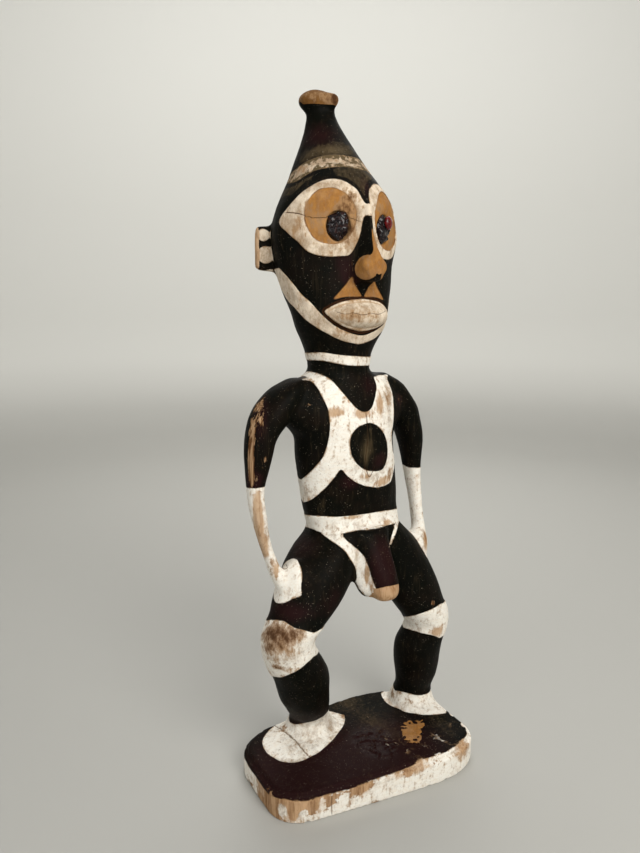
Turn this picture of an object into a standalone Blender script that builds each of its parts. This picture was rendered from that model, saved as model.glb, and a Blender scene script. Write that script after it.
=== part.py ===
"""A painted standing figure, carved with its plinth from one block of wood.

The figure faces -Y, its left side is +X, and it stands on z = 0. The carving is set out in steps,
each a thousandth of the figure's height over the plinth, so pose and proportions follow that height.
The plinth, the eye inlays and their seats have sizes of their own, in metres.
"""

import math

import bmesh
import bpy
import numpy as np
from mathutils import Matrix, Vector

# Driving dimensions, in metres and degrees
FIGURE_HEIGHT = 0.848
PLINTH_LENGTH = 0.298
PLINTH_DEPTH = 0.170
PLINTH_HEIGHT = 0.037
PLINTH_SKEW = 0.050
PLINTH_SHIFT = 0.0055
PLINTH_EDGE = 0.006
FOOT_SINK = 0.008
INLAY_WIDTH = 0.029
INLAY_HEIGHT = 0.034
INLAY_DEPTH = 0.016
INLAY_PROUD = 0.005
SEED_SIZE = 0.016
SEED_DEPTH = 0.009
SEAT_GAP = 0.0003

# Eyes, in steps and degrees: their middle, their distance from it, and how far they face outwards
EYE_MIDDLE = (-16, -4, 788)
EYE_SPREAD = 35
EYE_SLANT = 30.0

# Seed's place in the resin, as shares of the inlay's width and height
SEED_ACROSS = 0.10
SEED_UP = 0.22

# Fineness of the surfaces
CARVING_VOXEL = 0.0030
CARVING_TRIANGLES = 7400
RING_POINTS = 36
ROW_SPACING = 6.0
CORNER_POINTS = 8
CORNER_FULLNESS = 0.85

# One step, the soles' level below the plinth's top, and the feet's domed pads, in steps
STEP = FIGURE_HEIGHT / 1000.0
SOLE = -FOOT_SINK / STEP
FOOT_TOP = 12
FOOT_DOME = 17


def clear_scene():
    for item in list(bpy.data.objects):
        bpy.data.objects.remove(item, do_unlink=True)


def new_collection(name):
    collection = bpy.data.collections.new(name)
    bpy.context.scene.collection.children.link(collection)
    return collection


def material(name, colour, roughness, metallic=0.0):
    mat = bpy.data.materials.new(name)
    mat.use_nodes = True
    shader = mat.node_tree.nodes["Principled BSDF"]
    shader.inputs["Base Color"].default_value = (*colour, 1.0)
    shader.inputs["Roughness"].default_value = roughness
    shader.inputs["Metallic"].default_value = metallic
    return mat


def at(x, y, z):
    """A point of the carving, in steps from the middle of the plinth's top."""
    return Vector((x * STEP, y * STEP, z * STEP + PLINTH_HEIGHT))


def row(z, x, y, half_width, front, back=None, power=2.0):
    """One level of a carved form: its middle, half width, depth to front and back, and roundness."""
    return (z, x, y, half_width, front, back if back is not None else front, power)


def rows_between(rows):
    """Evenly spaced rows on a smooth curve through the given ones, from the top down."""
    table = np.array(sorted(rows, key=lambda r: -r[0]))
    heights = table[:, 0]
    slopes = np.gradient(table, heights, axis=0)
    count = max(2, int(math.ceil((heights[0] - heights[-1]) / ROW_SPACING)) + 1)
    result = []
    for z in np.linspace(heights[0], heights[-1], count):
        i = min(max(int(np.searchsorted(-heights, -z, side="right")) - 1, 0), len(heights) - 2)
        span = heights[i + 1] - heights[i]
        t = (z - heights[i]) / span
        value = ((2 * t ** 3 - 3 * t ** 2 + 1) * table[i] + (t ** 3 - 2 * t ** 2 + t) * span * slopes[i]
                 + (3 * t ** 2 - 2 * t ** 3) * table[i + 1] + (t ** 3 - t ** 2) * span * slopes[i + 1])
        result.append(value)
    return result


def ring(bm, level):
    """A level's outline: a round back, and a front that is rounder or sharper with its power."""
    z, x, y, half_width, front, back, power = level
    verts = []
    for i in range(RING_POINTS):
        angle = 2.0 * math.pi * i / RING_POINTS
        c, s = math.cos(angle), math.sin(angle)
        roundness = 2.0 / (power if s < 0 else 2.0)
        depth = front if s < 0 else back
        px = x + half_width * math.copysign(abs(c) ** roundness, c)
        py = y + depth * math.copysign(abs(s) ** roundness, s)
        verts.append(bm.verts.new(at(px, py, z)))
    return verts


def add_loft(bm, rows):
    """A closed form through the given rows."""
    rings = [ring(bm, level) for level in rows_between(rows)]
    for upper, lower in zip(rings, rings[1:]):
        for i in range(RING_POINTS):
            j = (i + 1) % RING_POINTS
            bm.faces.new((upper[i], lower[i], lower[j], upper[j]))
    bm.faces.new(rings[0])
    bm.faces.new(list(reversed(rings[-1])))


def add_ball(bm, centre, radii, turn=0.0):
    """A rounded lump, its radii in steps, turned about the vertical."""
    scale = Matrix.Diagonal((*[r * STEP for r in radii], 1.0))
    place = Matrix.Translation(at(*centre)) @ Matrix.Rotation(math.radians(turn), 4, "Z") @ scale
    bmesh.ops.create_uvsphere(bm, u_segments=28, v_segments=16, radius=1.0, matrix=place)


def add_block(bm, centre, size, turn, edge):
    """A block with rounded edges, its sizes in steps, turned about the vertical."""
    place = Matrix.Translation(at(*centre)) @ Matrix.Rotation(math.radians(turn), 4, "Z")
    place = place @ Matrix.Diagonal((*[s * STEP for s in size], 1.0))
    made = bmesh.ops.create_cube(bm, size=1.0, matrix=place)
    edges = {e for v in made["verts"] for e in v.link_edges}
    bmesh.ops.bevel(bm, geom=list(edges), offset=edge * STEP, segments=3, affect="EDGES")


def head_rows():
    """Topknot's stem, pointed cap, wedge-shaped face and neck."""
    axis = -16
    return [
        row(976, axis - 2, 97, 17, 17), row(946, axis - 2, 92, 25, 25), row(924, axis - 1, 86, 34, 34),
        row(901, axis - 1, 80, 45, 45), row(879, axis - 1, 73, 57, 56), row(854, axis, 66, 70, 68),
        row(836, axis, 60, 81, 74, 79), row(823, axis, 56, 89, 76, 85, 1.9),
        row(806, axis, 52, 96, 74, 89, 1.6), row(788, axis, 50, 101, 72, 92, 1.55),
        row(770, axis, 50, 101, 71, 93, 1.55),
        row(752, axis, 52, 97, 71, 91, 1.6), row(727, axis, 53, 91, 69, 86, 1.8),
        row(706, axis, 51, 86, 66, 80), row(688, axis, 47, 80, 64, 74), row(664, axis, 43, 73, 61, 67),
        row(647, axis, 43, 68, 58, 62), row(635, axis, 45, 62, 55, 57), row(625, axis, 47, 56, 51, 52),
        row(612, axis, 48, 51, 48), row(594, axis, 48, 47, 46), row(560, axis, 47, 47, 46),
    ]


def torso_rows():
    """Sloping shoulders, broad chest, straight waist and hips."""
    return [
        row(594, -15, 48, 44, 40), row(582, -15, 48, 54, 44), row(570, -14, 46, 78, 48, 52),
        row(550, -13, 44, 100, 52, 58), row(530, -12, 43, 110, 55, 60), row(510, -11, 42, 100, 58, 60),
        row(494, -9, 42, 86, 59, 58), row(462, -8, 41, 84, 57, 57), row(436, -4, 41, 84, 54, 57),
        row(402, 2, 41, 84, 50, 58), row(370, 6, 41, 82, 46, 60), row(350, 10, 40, 79, 45, 64),
        row(333, 11, 40, 79, 47, 68), row(314, 9, 40, 76, 48, 66), row(298, 8, 42, 54, 44, 56),
        row(284, 7, 44, 30, 34, 40),
    ]


def right_arm_rows():
    return [
        row(578, -88, 43, 14, 20), row(564, -105, 43, 26, 30), row(545, -122, 42, 31, 34),
        row(528, -134, 41, 31, 35), row(512, -143, 40, 28, 32), row(497, -151.5, 39, 22.5, 30),
        row(472, -157.5, 37, 19.5, 27), row(446, -161.5, 35, 15.5, 22), row(426, -165, 33, 13, 18),
        row(409, -165, 31, 12, 16), row(388, -163, 28, 12, 15), row(360, -159, 26, 10, 13),
        row(339, -154, 24, 9, 12), row(318, -148, 21, 9, 12), row(300, -142, 18, 11, 14),
        row(284, -132, 15, 14, 17), row(264, -122, 12, 15, 18),
    ]


def left_arm_rows():
    return [
        row(580, 54, 50, 14, 20), row(565, 70, 50, 26, 31), row(545, 87, 50, 29, 33),
        row(528, 100, 50, 29, 34), row(504, 112, 49, 26, 31), row(486, 119, 47, 22, 29),
        row(462, 124.5, 46, 18.5, 26), row(432, 127, 45, 15, 20), row(408, 128, 42, 13, 17),
        row(378, 130, 38, 11, 14), row(348, 132, 34, 10, 13), row(314, 135, 30, 11, 14),
        row(292, 136, 26, 12, 15), row(272, 133, 22, 10, 13),
    ]


def right_leg_rows():
    return [
        row(356, -20, 39, 32, 42, 54), row(336, -33, 32, 37, 47, 58), row(316, -53, 25, 50, 50, 58),
        row(295, -66, 20, 56, 52, 56), row(269, -81, 14, 58, 50, 54), row(246, -96, 7, 54, 46, 50),
        row(234, -106, 3, 50, 43, 46), row(222, -120, 0, 44, 42, 43), row(205, -131, 0, 40, 40, 40),
        row(195, -133, 0, 39, 39, 39), row(180, -129, 2, 40, 40, 42), row(155, -116, 7, 44, 41, 46),
        row(131, -103, 13, 44, 40, 47), row(93, -92, 24, 41, 38, 43), row(80, -88, 28, 40, 37, 41),
        row(47, -74, 41, 34, 33, 35), row(27, -65, 53, 33, 32, 33), row(13, -64, 54, 40, 38, 40),
        row(SOLE, -64, 54, 42, 40, 42),
    ]


def left_leg_rows():
    return [
        row(351, 31, 35, 43, 44, 54), row(318, 56, 30, 50, 50, 58), row(285, 76, 24, 52, 50, 54),
        row(245, 98, 16, 51, 47, 50), row(206, 115, 9, 46, 43, 45), row(186, 127, 7, 43, 41, 43),
        row(170, 134, 6, 38, 38, 40), row(157, 137, 6, 34, 36, 37), row(143, 133, 8, 35, 37, 40),
        row(126, 128, 12, 38, 38, 43), row(86, 130, 21, 39, 38, 42), row(57, 133, 26, 35, 36, 38),
        row(27, 132, 32, 31, 32, 33), row(13, 130, 32, 37, 38, 40), row(SOLE, 129, 32, 40, 40, 42),
    ]


def loin_rows():
    return [
        row(350, 5, -6, 34, 20), row(326, 5, -18, 27, 22), row(304, 6, -32, 24, 22),
        row(286, 7, -41, 23, 22), row(270, 8, -46, 23, 21), row(256, 8, -47, 22, 20),
        row(249, 8, -47, 17, 15),
    ]


def pouch_rows():
    return [
        row(316, -9, -9, 17, 19), row(292, -10, -16, 17, 20), row(272, -10, -21, 17, 19),
        row(258, -9, -25, 15, 15), row(248, -8, -26, 9, 9),
    ]


def nose_rows():
    """A thin straight ridge that widens towards the nostrils."""
    axis = -16
    return [
        row(823, axis, -18, 4, 14, 14, 1.5), row(800, axis, -18, 6, 19, 16, 1.4),
        row(770, axis, -18, 10, 25, 16, 1.4), row(749, axis, -18, 15, 37, 16, 1.4),
        row(737, axis, -18, 18, 40, 16, 1.6), row(723, axis, -18, 20, 38, 16, 2),
        row(713, axis, -18, 16, 31, 16, 2),
    ]


def carved_body():
    """The figure from topknot to soles, as overlapping forms that the remesh makes one."""
    bm = bmesh.new()
    for rows in (head_rows(), torso_rows(), right_arm_rows(), left_arm_rows(), right_leg_rows(),
                 left_leg_rows(), loin_rows(), pouch_rows(), nose_rows()):
        add_loft(bm, rows)
    # Topknot: a broad bun and a smaller lobe before it
    add_ball(bm, (-25, 96, 977), (30, 24, 17))
    add_ball(bm, (-11, 76, 977), (11, 13, 11))
    # Nostrils, one each side of the nose's tip
    for side in (-1, 1):
        add_ball(bm, (-16 + side * 11, -40, 733), (11.5, 13, 13))
    # Lips stand out round the lower face
    add_ball(bm, (-16, 14, 667), (56, 48, 24))
    # Ears are plain blocks on the sides of the head
    for side in (-1, 1):
        add_block(bm, (-16 + side * 95, 100, 764), (34, 12, 65), side * 4, 2.5)
    # Hands lie flat on the outsides of the thighs
    add_ball(bm, (-112, 8, 280), (22, 26, 36))
    add_ball(bm, (125, 22, 292), (17, 21, 30))
    # Feet are low pads on the plinth, the right one turned outwards
    add_ball(bm, (-80, 39, FOOT_TOP - FOOT_DOME), (80, 52, FOOT_DOME))
    add_ball(bm, (128, 5, FOOT_TOP - FOOT_DOME), (36, 56, FOOT_DOME), 14)
    # Buttocks, plainly rounded
    for x in (-24, 46):
        add_ball(bm, (x, 74, 311), (41, 31, 41))
    bmesh.ops.recalc_face_normals(bm, faces=bm.faces)
    mesh = bpy.data.meshes.new("carved_body")
    bm.to_mesh(mesh)
    bm.free()
    return mesh


def plinth_outline():
    """The slab from above: straight back, front edge run out of square, every corner rounded."""
    left, right = -PLINTH_LENGTH / 2.0 - PLINTH_SHIFT, PLINTH_LENGTH / 2.0 - PLINTH_SHIFT
    front, back = -PLINTH_DEPTH / 2.0, PLINTH_DEPTH / 2.0
    corners = [Vector((left, front + PLINTH_SKEW / 2.0)), Vector((right, front - PLINTH_SKEW / 2.0)),
               Vector((right, back)), Vector((left, back))]
    # How far each corner's rounding runs along the edge before it and the edge after it
    reach = [(0.26, 0.14), (0.34, 0.32), (0.47, 0.42), (0.24, 0.32)]
    points = []
    for i, corner in enumerate(corners):
        start = corner + (corners[i - 1] - corner) * reach[i][0]
        end = corner + (corners[(i + 1) % 4] - corner) * reach[i][1]
        for k in range(CORNER_POINTS + 1):
            t = k / CORNER_POINTS
            pull = 2.0 * CORNER_FULLNESS * t * (1 - t)
            total = (1 - t) ** 2 + t ** 2 + pull
            points.append(((1 - t) ** 2 * start + t ** 2 * end + pull * corner) / total)
    return points


def make_plinth(collection, mat):
    """A flat slab with a softened upper rim."""
    bm = bmesh.new()
    verts = [bm.verts.new((x, y, 0.0)) for x, y in plinth_outline()]
    base = bm.faces.new(verts)
    raised = bmesh.ops.extrude_face_region(bm, geom=[base])
    top_verts = [v for v in raised["geom"] if isinstance(v, bmesh.types.BMVert)]
    bmesh.ops.translate(bm, verts=top_verts, vec=(0, 0, PLINTH_HEIGHT))
    bmesh.ops.recalc_face_normals(bm, faces=bm.faces)
    top = set(top_verts)
    rim = [e for e in bm.edges if e.verts[0] in top and e.verts[1] in top]
    bmesh.ops.bevel(bm, geom=rim, offset=PLINTH_EDGE, segments=2, affect="EDGES")
    mesh = bpy.data.meshes.new("plinth")
    bm.to_mesh(mesh)
    bm.free()
    plinth = bpy.data.objects.new("carved_figure", mesh)
    collection.objects.link(plinth)
    mesh.materials.append(mat)
    return plinth


def make_body(cutters):
    """The carved body as one skin, kept as the shape that is joined to the plinth."""
    body = bpy.data.objects.new("body_form", carved_body())
    cutters.objects.link(body)
    body.hide_render = True
    body.display_type = "WIRE"
    skin = body.modifiers.new("one skin", "REMESH")
    skin.mode = "VOXEL"
    skin.voxel_size = CARVING_VOXEL
    ease = body.modifiers.new("eased hollows", "SMOOTH")
    ease.factor = 0.5
    ease.iterations = 6
    dense = len(evaluated_mesh(body).polygons) * 2
    facets = body.modifiers.new("facets", "DECIMATE")
    facets.ratio = CARVING_TRIANGLES / dense
    facets.use_collapse_triangulate = True
    return body


def evaluated_mesh(item):
    depsgraph = bpy.context.evaluated_depsgraph_get()
    depsgraph.update()
    return item.evaluated_get(depsgraph).data


def eye_frame(body, side):
    """A frame on the skin at one eye: local -Y points out of the face, Z up."""
    turn = Matrix.Rotation(math.radians(EYE_SLANT * side), 4, "Z")
    inward = turn @ Vector((0.0, 1.0, 0.0))
    centre = at(*EYE_MIDDLE) + Vector((side * EYE_SPREAD * STEP, 0.0, 0.0))
    start = centre - inward * FIGURE_HEIGHT
    depsgraph = bpy.context.evaluated_depsgraph_get()
    hit, spot, _, _ = body.evaluated_get(depsgraph).ray_cast(start, inward)
    if not hit:
        raise RuntimeError("the eye's line misses the face")
    return Matrix.Translation(spot) @ turn


def lump(name, size, frame, grow=0.0):
    """A flattened lump of the given width, depth and height, in its eye's frame."""
    bm = bmesh.new()
    radii = [s / 2.0 + grow for s in size]
    bmesh.ops.create_uvsphere(bm, u_segments=20, v_segments=12, radius=1.0,
                              matrix=Matrix.Diagonal((*radii, 1.0)))
    mesh = bpy.data.meshes.new(name)
    bm.to_mesh(mesh)
    bm.free()
    mesh.shade_smooth()
    item = bpy.data.objects.new(name, mesh)
    item.matrix_world = frame
    return item


def cut(item, cutter, cutters):
    """Cuts one closed form out of another."""
    cutters.objects.link(cutter)
    cutter.hide_render = True
    cutter.display_type = "WIRE"
    seat = item.modifiers.new("seat for " + cutter.name, "BOOLEAN")
    seat.operation = "DIFFERENCE"
    seat.solver = "EXACT"
    seat.object = cutter


def make_eye(figure, body, name, side, parts, cutters, mat):
    """A resin inlay that stands a little proud of its seat in the face."""
    frame = eye_frame(body, side)
    frame = frame @ Matrix.Translation((0.0, INLAY_DEPTH / 2.0 - INLAY_PROUD, 0.0))
    size = (INLAY_WIDTH, INLAY_DEPTH, INLAY_HEIGHT)
    inlay = lump(name, size, frame)
    parts.objects.link(inlay)
    inlay.data.materials.append(mat)
    cut(figure, lump(name + "_seat", size, frame, SEAT_GAP), cutters)
    return inlay, frame


def make_seed(figure, inlay, frame, parts, cutters, mat):
    """A seed sunk in the outer upper part of the left eye's resin."""
    across, up = INLAY_WIDTH * SEED_ACROSS, INLAY_HEIGHT * SEED_UP
    bulge = math.sqrt(1.0 - (2.0 * SEED_ACROSS) ** 2 - (2.0 * SEED_UP) ** 2)
    spot = frame @ Matrix.Translation((across, -INLAY_DEPTH / 2.0 * bulge, up))
    size = (SEED_SIZE, SEED_DEPTH, SEED_SIZE)
    seed = lump("left_eye_seed", size, spot)
    parts.objects.link(seed)
    seed.data.materials.append(mat)
    cut(inlay, lump("seed_seat_in_resin", size, spot, SEAT_GAP), cutters)
    cut(figure, lump("seed_seat_in_wood", size, spot, SEAT_GAP), cutters)


def main():
    clear_scene()
    parts = new_collection("carved_standing_figure")
    cutters = new_collection("cutters")
    painted_wood = material("painted_wood", (0.035, 0.025, 0.025), 0.5)
    resin = material("dark_resin", (0.02, 0.015, 0.015), 0.3)
    red_seed = material("red_seed", (0.35, 0.02, 0.02), 0.25)
    figure = make_plinth(parts, painted_wood)
    body = make_body(cutters)
    join = figure.modifiers.new("carved in one", "BOOLEAN")
    join.operation = "UNION"
    join.solver = "EXACT"
    join.object = body
    make_eye(figure, body, "right_eye_inlay", -1, parts, cutters, resin)
    inlay, frame = make_eye(figure, body, "left_eye_inlay", 1, parts, cutters, resin)
    make_seed(figure, inlay, frame, parts, cutters, red_seed)


main()
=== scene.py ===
"""Finishes the carved standing figure: surface, paint, eye inlays and a plain studio.

Every length is in metres, in the figure's own frame: it faces -Y, its left side is +X, and it
stands on z = 0. Paint outlines are drawn as places in the photograph, in its pixels, and are
dropped on the carving along the photograph's own lines of sight.
"""

import math

import bmesh
import bpy
import numpy as np
from bpy.props import FloatProperty, FloatVectorProperty, IntProperty, PointerProperty
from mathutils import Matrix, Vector, noise
from mathutils.bvhtree import BVHTree


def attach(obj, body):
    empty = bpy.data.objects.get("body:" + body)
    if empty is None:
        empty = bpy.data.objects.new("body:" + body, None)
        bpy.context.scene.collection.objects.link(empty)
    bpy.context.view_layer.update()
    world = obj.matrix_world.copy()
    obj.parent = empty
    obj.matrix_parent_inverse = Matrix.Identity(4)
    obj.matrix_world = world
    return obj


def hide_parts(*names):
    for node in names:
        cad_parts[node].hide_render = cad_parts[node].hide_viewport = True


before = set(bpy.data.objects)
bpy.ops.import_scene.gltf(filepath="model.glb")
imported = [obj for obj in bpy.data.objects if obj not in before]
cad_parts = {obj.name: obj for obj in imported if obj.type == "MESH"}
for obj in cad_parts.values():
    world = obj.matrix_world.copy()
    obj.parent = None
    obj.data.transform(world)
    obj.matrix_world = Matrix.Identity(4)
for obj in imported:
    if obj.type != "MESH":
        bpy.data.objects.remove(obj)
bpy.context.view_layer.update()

bl_info = {
    "name": "Carved standing figure",
    "version": (1, 0, 0),
    "blender": (4, 5, 0),
    "location": "3D View > Sidebar > Figure",
    "description": "Finishes the surface, paint and eye inlays of the carved standing figure",
    "category": "Object",
}

BODY = "root"
CARVING = "carved_figure"

# The photograph's camera
PHOTO_SIZE = (640, 853)
PHOTO_FOCUS = 640.0
CAMERA_PLACE = Vector((-0.459, -0.655, 0.600))
CAMERA_AZIMUTH = math.radians(31.0)
CAMERA_DIP = math.radians(9.62)
SENSOR = 36.0

AHEAD = Vector((math.sin(CAMERA_AZIMUTH) * math.cos(CAMERA_DIP),
                math.cos(CAMERA_AZIMUTH) * math.cos(CAMERA_DIP), -math.sin(CAMERA_DIP)))
RIGHTWARD = Vector((math.cos(CAMERA_AZIMUTH), -math.sin(CAMERA_AZIMUTH), 0.0))
DOWNWARD = AHEAD.cross(RIGHTWARD)

# Distances tried along a line of sight that just misses the carving
SIGHT_REACHES = [0.50 + 0.01 * k for k in range(60)]

# How far outside a painted shape everything else counts as being
FAR = 0.02
# How far round a crack or a scratch its distance is worked out
LINE_REACH = 0.006
# Soft spots reach at least this far into the figure
LEAST_SPOT_DEPTH = 0.012
# One millimetre
MM = 0.001

# Upright axes that paint is wrapped round, as x and y
HEAD_AXIS = (-0.0136, 0.043)
NECK_AXIS = (-0.012, 0.030)
CHEST_AXIS = (-0.003, 0.040)
BELT_AXIS = (0.001, 0.042)
RIGHT_ARM_AXIS = (-0.118, 0.030)
LEFT_ARM_AXIS = (0.108, 0.035)
RIGHT_KNEE_AXIS = (-0.104, 0.004)
LEFT_KNEE_AXIS = (0.107, 0.007)
RIGHT_ANKLE_AXIS = (-0.058, 0.042)
LEFT_ANKLE_AXIS = (0.112, 0.026)
PLINTH_AXIS = (-0.0055, 0.0)

# Levels between the parts of the body, and the gaps between arms and trunk
NECK_LEVEL = 0.530
CROTCH_LEVEL = 0.290
HIP_LEVEL = 0.330
RIGHT_ARM_GAP = -0.098
LEFT_ARM_GAP = 0.082
LEGS_APART = 0.022
PLINTH_TOP = 0.037
KNOB_AXIS = (-0.0212, 0.0801)

# Radii at which outlines are laid flat round their axes
FACE_RADIUS = 0.075
LIPS_RADIUS = 0.062
CHEST_RADIUS = 0.06
DISC_RADIUS = 0.05

# Borders of the head's painted zones: top of the face, foot of the knob and back of the jaw's band
FACE_TOP = 0.80
KNOB_LEVEL = 0.85
JAW_BACK = 0.089
# Ears: inner side, front and top, where the tan edge begins, and the unit of a lobe's radius
EAR_INNER, EAR_FRONT, EAR_TOP = 0.066, 0.066, 0.73
EAR_RIM = 0.0905
LOBE_SIZE = 1.08 * MM
# Nose: how far back its paint and its ridge's paint go, the ridge's foot, and the notch below the tip
NOSE_BACK = -0.018
RIDGE_BACK = -0.020
NOSE_FOOT = 0.648
PHILTRUM_TOP = 0.652
PHILTRUM_WIDTH = 0.0035

# The brow's shaded strip fades at the temples, between these turns from the front
TEMPLE_TURNS = (math.radians(28), math.radians(50))
TEMPLE_FADE = 0.006

# The left eye's disc sits further out than the right one's, and is larger
LEFT_EYE_SHIFT = 0.004
LEFT_EYE_GROWTH = 0.003
LEFT_GROIN_WIDTHS = (0.0030, 0.0026, 0.0024, 0.0006)

# Painted outlines, as pixels of the photograph
EYE_RING = [(366, 203.5), (362, 198.5), (357, 190), (350, 184.5), (341, 180), (330, 179), (319, 182),
            (308, 188), (299, 195), (289, 206), (279, 222), (288, 233), (297, 241), (307, 250.5),
            (316, 254.5), (327, 256.3), (339, 256), (349.5, 254.5), (356, 244), (360, 233),
            (363.5, 217), (370, 215.5), (375, 214), (375, 205), (370, 203.5)]
EYE_DISC = [(355.8, 208), (350, 197), (341, 190), (330, 187.4), (318, 190), (308, 200), (304.6, 212),
            (306, 224), (313.5, 237.5), (324, 243), (337, 243.5), (347, 238.5), (354, 228), (356.5, 218)]
BROW_BAND_TOP = [(291, 173), (304, 163), (320, 156.5), (338, 155), (355, 158), (364, 163)]
BROW_BAND_FOOT = [(285, 184), (297, 181), (309, 173), (320, 169), (338, 166.5), (355, 168), (363, 170)]
BROW_SHADE_FOOT = [(288, 200), (300, 189), (312, 181), (330, 175), (346, 178), (358, 186), (364, 196)]
LIP_TRIANGLE = [(352, 277), (346, 284.5), (339, 292.5), (334, 299), (344, 297), (353, 296.5),
                (361.5, 296.5), (357.5, 289), (354.5, 283)]
MOUTH = [(324.5, 311.5), (331, 306.5), (341, 302), (351, 300), (361, 299), (369, 299), (376, 299.5),
         (382.5, 301), (387, 305), (387.3, 312), (385, 320), (378, 327.5), (369, 331.5), (358, 331),
         (348, 328.5), (339, 324), (331, 318.5)]
MOUTH_LINE = [(338, 312.5), (346, 314.5), (354, 313), (362, 315), (370, 313.5), (378, 314.5), (384, 312)]
JAW_TOP = [(279, 268), (282, 271), (292, 282.5), (301, 294), (311, 303), (321.5, 314.5), (333, 324.5),
           (345.5, 331.5), (358.5, 335.5), (368, 335.5)]
JAW_FOOT = [(273, 268), (276, 275.5), (280.5, 287.5), (287, 299), (296, 309), (305, 319), (316, 327),
            (329, 334.5), (342, 340.5), (354.5, 343.5), (365, 344.5)]
EAR_LOBES = [((263, 235), 6.6), ((265, 255), 9.4)]
NECK_RING_TOP = [(309, 353), (323.5, 352.7), (337, 354.7), (350.5, 356), (369, 357)]
NECK_RING_FOOT = [(309, 360), (323.5, 360.7), (337, 363.4), (350.5, 365.5), (369, 365.5)]
NECK_V = [(309, 371.5), (318, 373.5), (326.5, 377), (334.5, 383.5), (345, 395.5), (353, 405), (360, 411),
          (366.5, 412), (372, 407.6), (375.3, 396.9), (376.6, 386.2), (373.3, 376.8)]
FLANK_OVAL = [(303, 374.8), (310.5, 379), (317, 387.5), (323.7, 399.6), (328.4, 410.3), (329.8, 425),
              (328.4, 441), (323.7, 455.8), (315.7, 466.5), (307.7, 474.6), (301, 479.5)]
VEST_FOOT = [(302, 502.5), (310.5, 500), (321, 492), (329, 484), (335, 476.5), (341, 469.5), (346.5, 475),
             (354.5, 481.2), (364, 485.5), (374.6, 487.3), (384, 486), (390.7, 481.2), (393.5, 470.5)]
CHEST_DISC = [(365.3, 423.7), (358, 427), (352, 434), (349.6, 443), (351.5, 455), (357, 464), (364, 469.4),
              (373, 471.2), (382, 469.5), (386.5, 459), (387, 446), (383.5, 433), (377, 425.5), (371, 423)]
BELT_TOP = [(303, 514.5), (310.5, 515.5), (323.7, 516.4), (337, 516.8), (350.5, 515.9), (364, 514.2),
            (377.3, 511.9), (390.5, 510), (396, 509)]
BELT_FOOT = [(304.5, 526.3), (313, 529), (321, 532.2), (331, 533.8), (341, 533.6), (350.5, 531.6),
             (364, 529.6), (377.3, 527), (388, 525), (395.5, 523)]
RIGHT_GROIN = [(319, 530), (329, 539), (337, 544.3), (345.2, 551), (350.5, 559), (354.5, 565.7),
               (356.6, 572.4), (356, 582), (359, 588), (364, 594), (369.3, 598.5), (376, 601),
               (377.5, 596), (376, 587), (372, 579), (369.3, 571), (366.6, 563), (364, 556.3),
               (357.2, 549.6), (348, 541.6), (339.5, 533.5), (330, 529)]
LEFT_GROIN = [(398, 518), (396.3, 526), (393.2, 536), (389, 547.5)]
TIP_EDGE = [(376, 589), (384, 587.3), (391, 586), (398, 584.5), (406, 582.5)]
RIGHT_SLEEVE = [(247, 488), (256, 488.5), (264, 487.3)]
LEFT_SLEEVE = [(404, 465), (408, 467.3), (418, 468)]
RIGHT_KNEE_TOP = [(267, 620.7), (273, 620), (284.5, 621.6), (293, 627), (304.5, 630.7), (314, 633)]
RIGHT_KNEE_FOOT = [(271, 675.7), (280, 677), (288, 674.8), (299.7, 668.8), (308, 661.4), (314, 656)]
LEFT_KNEE_TOP = [(404, 616.6), (412.4, 615.8), (424, 612.4), (435, 607.5), (440, 604)]
LEFT_KNEE_FOOT = [(404, 627.4), (412.4, 630), (424, 633.2), (434, 635.7), (439, 638)]
RIGHT_CALF_FOOT = [(290, 722.5), (295, 724.4), (303, 723.5), (314.6, 721), (324, 716.5), (328, 712)]
LEFT_CALF_FOOT = [(395, 690.6), (402.5, 692), (412.4, 694.5), (422, 695.2), (428, 693)]
RIGHT_FOOT = [(275, 725), (267, 733), (262.5, 742), (266, 751), (273, 757.5), (283, 761.7), (296.3, 762),
              (308, 758.5), (318, 752.6), (329.5, 742.6), (338, 732.7), (344.4, 722.7), (344, 715)]
TOE_LINE = [(275.5, 725), (286.5, 732.5), (296.3, 741), (303, 749), (309.5, 756.5)]
LEFT_FOOT = [(381, 693), (383, 698), (389.2, 704.5), (402.5, 710.5), (417.4, 713.6), (434, 714.4),
             (446, 712.5)]
PLINTH_EDGE = [(268, 794), (280, 799), (296.3, 799.8), (313, 797.3), (333, 792), (352.7, 784.5),
               (372.6, 778), (396, 770.5), (412.4, 765), (429, 756), (447, 747), (461, 738)]

KNOB_FOOT = [(300, 101.5), (303, 104), (310, 103.5), (322, 104), (331, 104), (335, 101)]
CHIPS = [(401, 724), (406, 720), (412, 721), (418, 720), (423.5, 722), (424.5, 731), (423, 741),
         (418, 744), (411, 743.5), (404, 742.5), (401, 734)]

# Hidden ends of painted edges: angle in degrees and level, then x and y on the plinth
VEST_FOOT_HIDDEN = [(66, 0.413), (78, 0.390), (97, 0.363)]
RIGHT_FOOT_BACK = [(-0.012, 0.066), (-0.032, 0.084), (-0.060, 0.089), (-0.084, 0.082)]
LEFT_FOOT_BACK = [(0.147, -0.012), (0.151, 0.020), (0.145, 0.046), (0.126, 0.063), (0.102, 0.067)]

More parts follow.
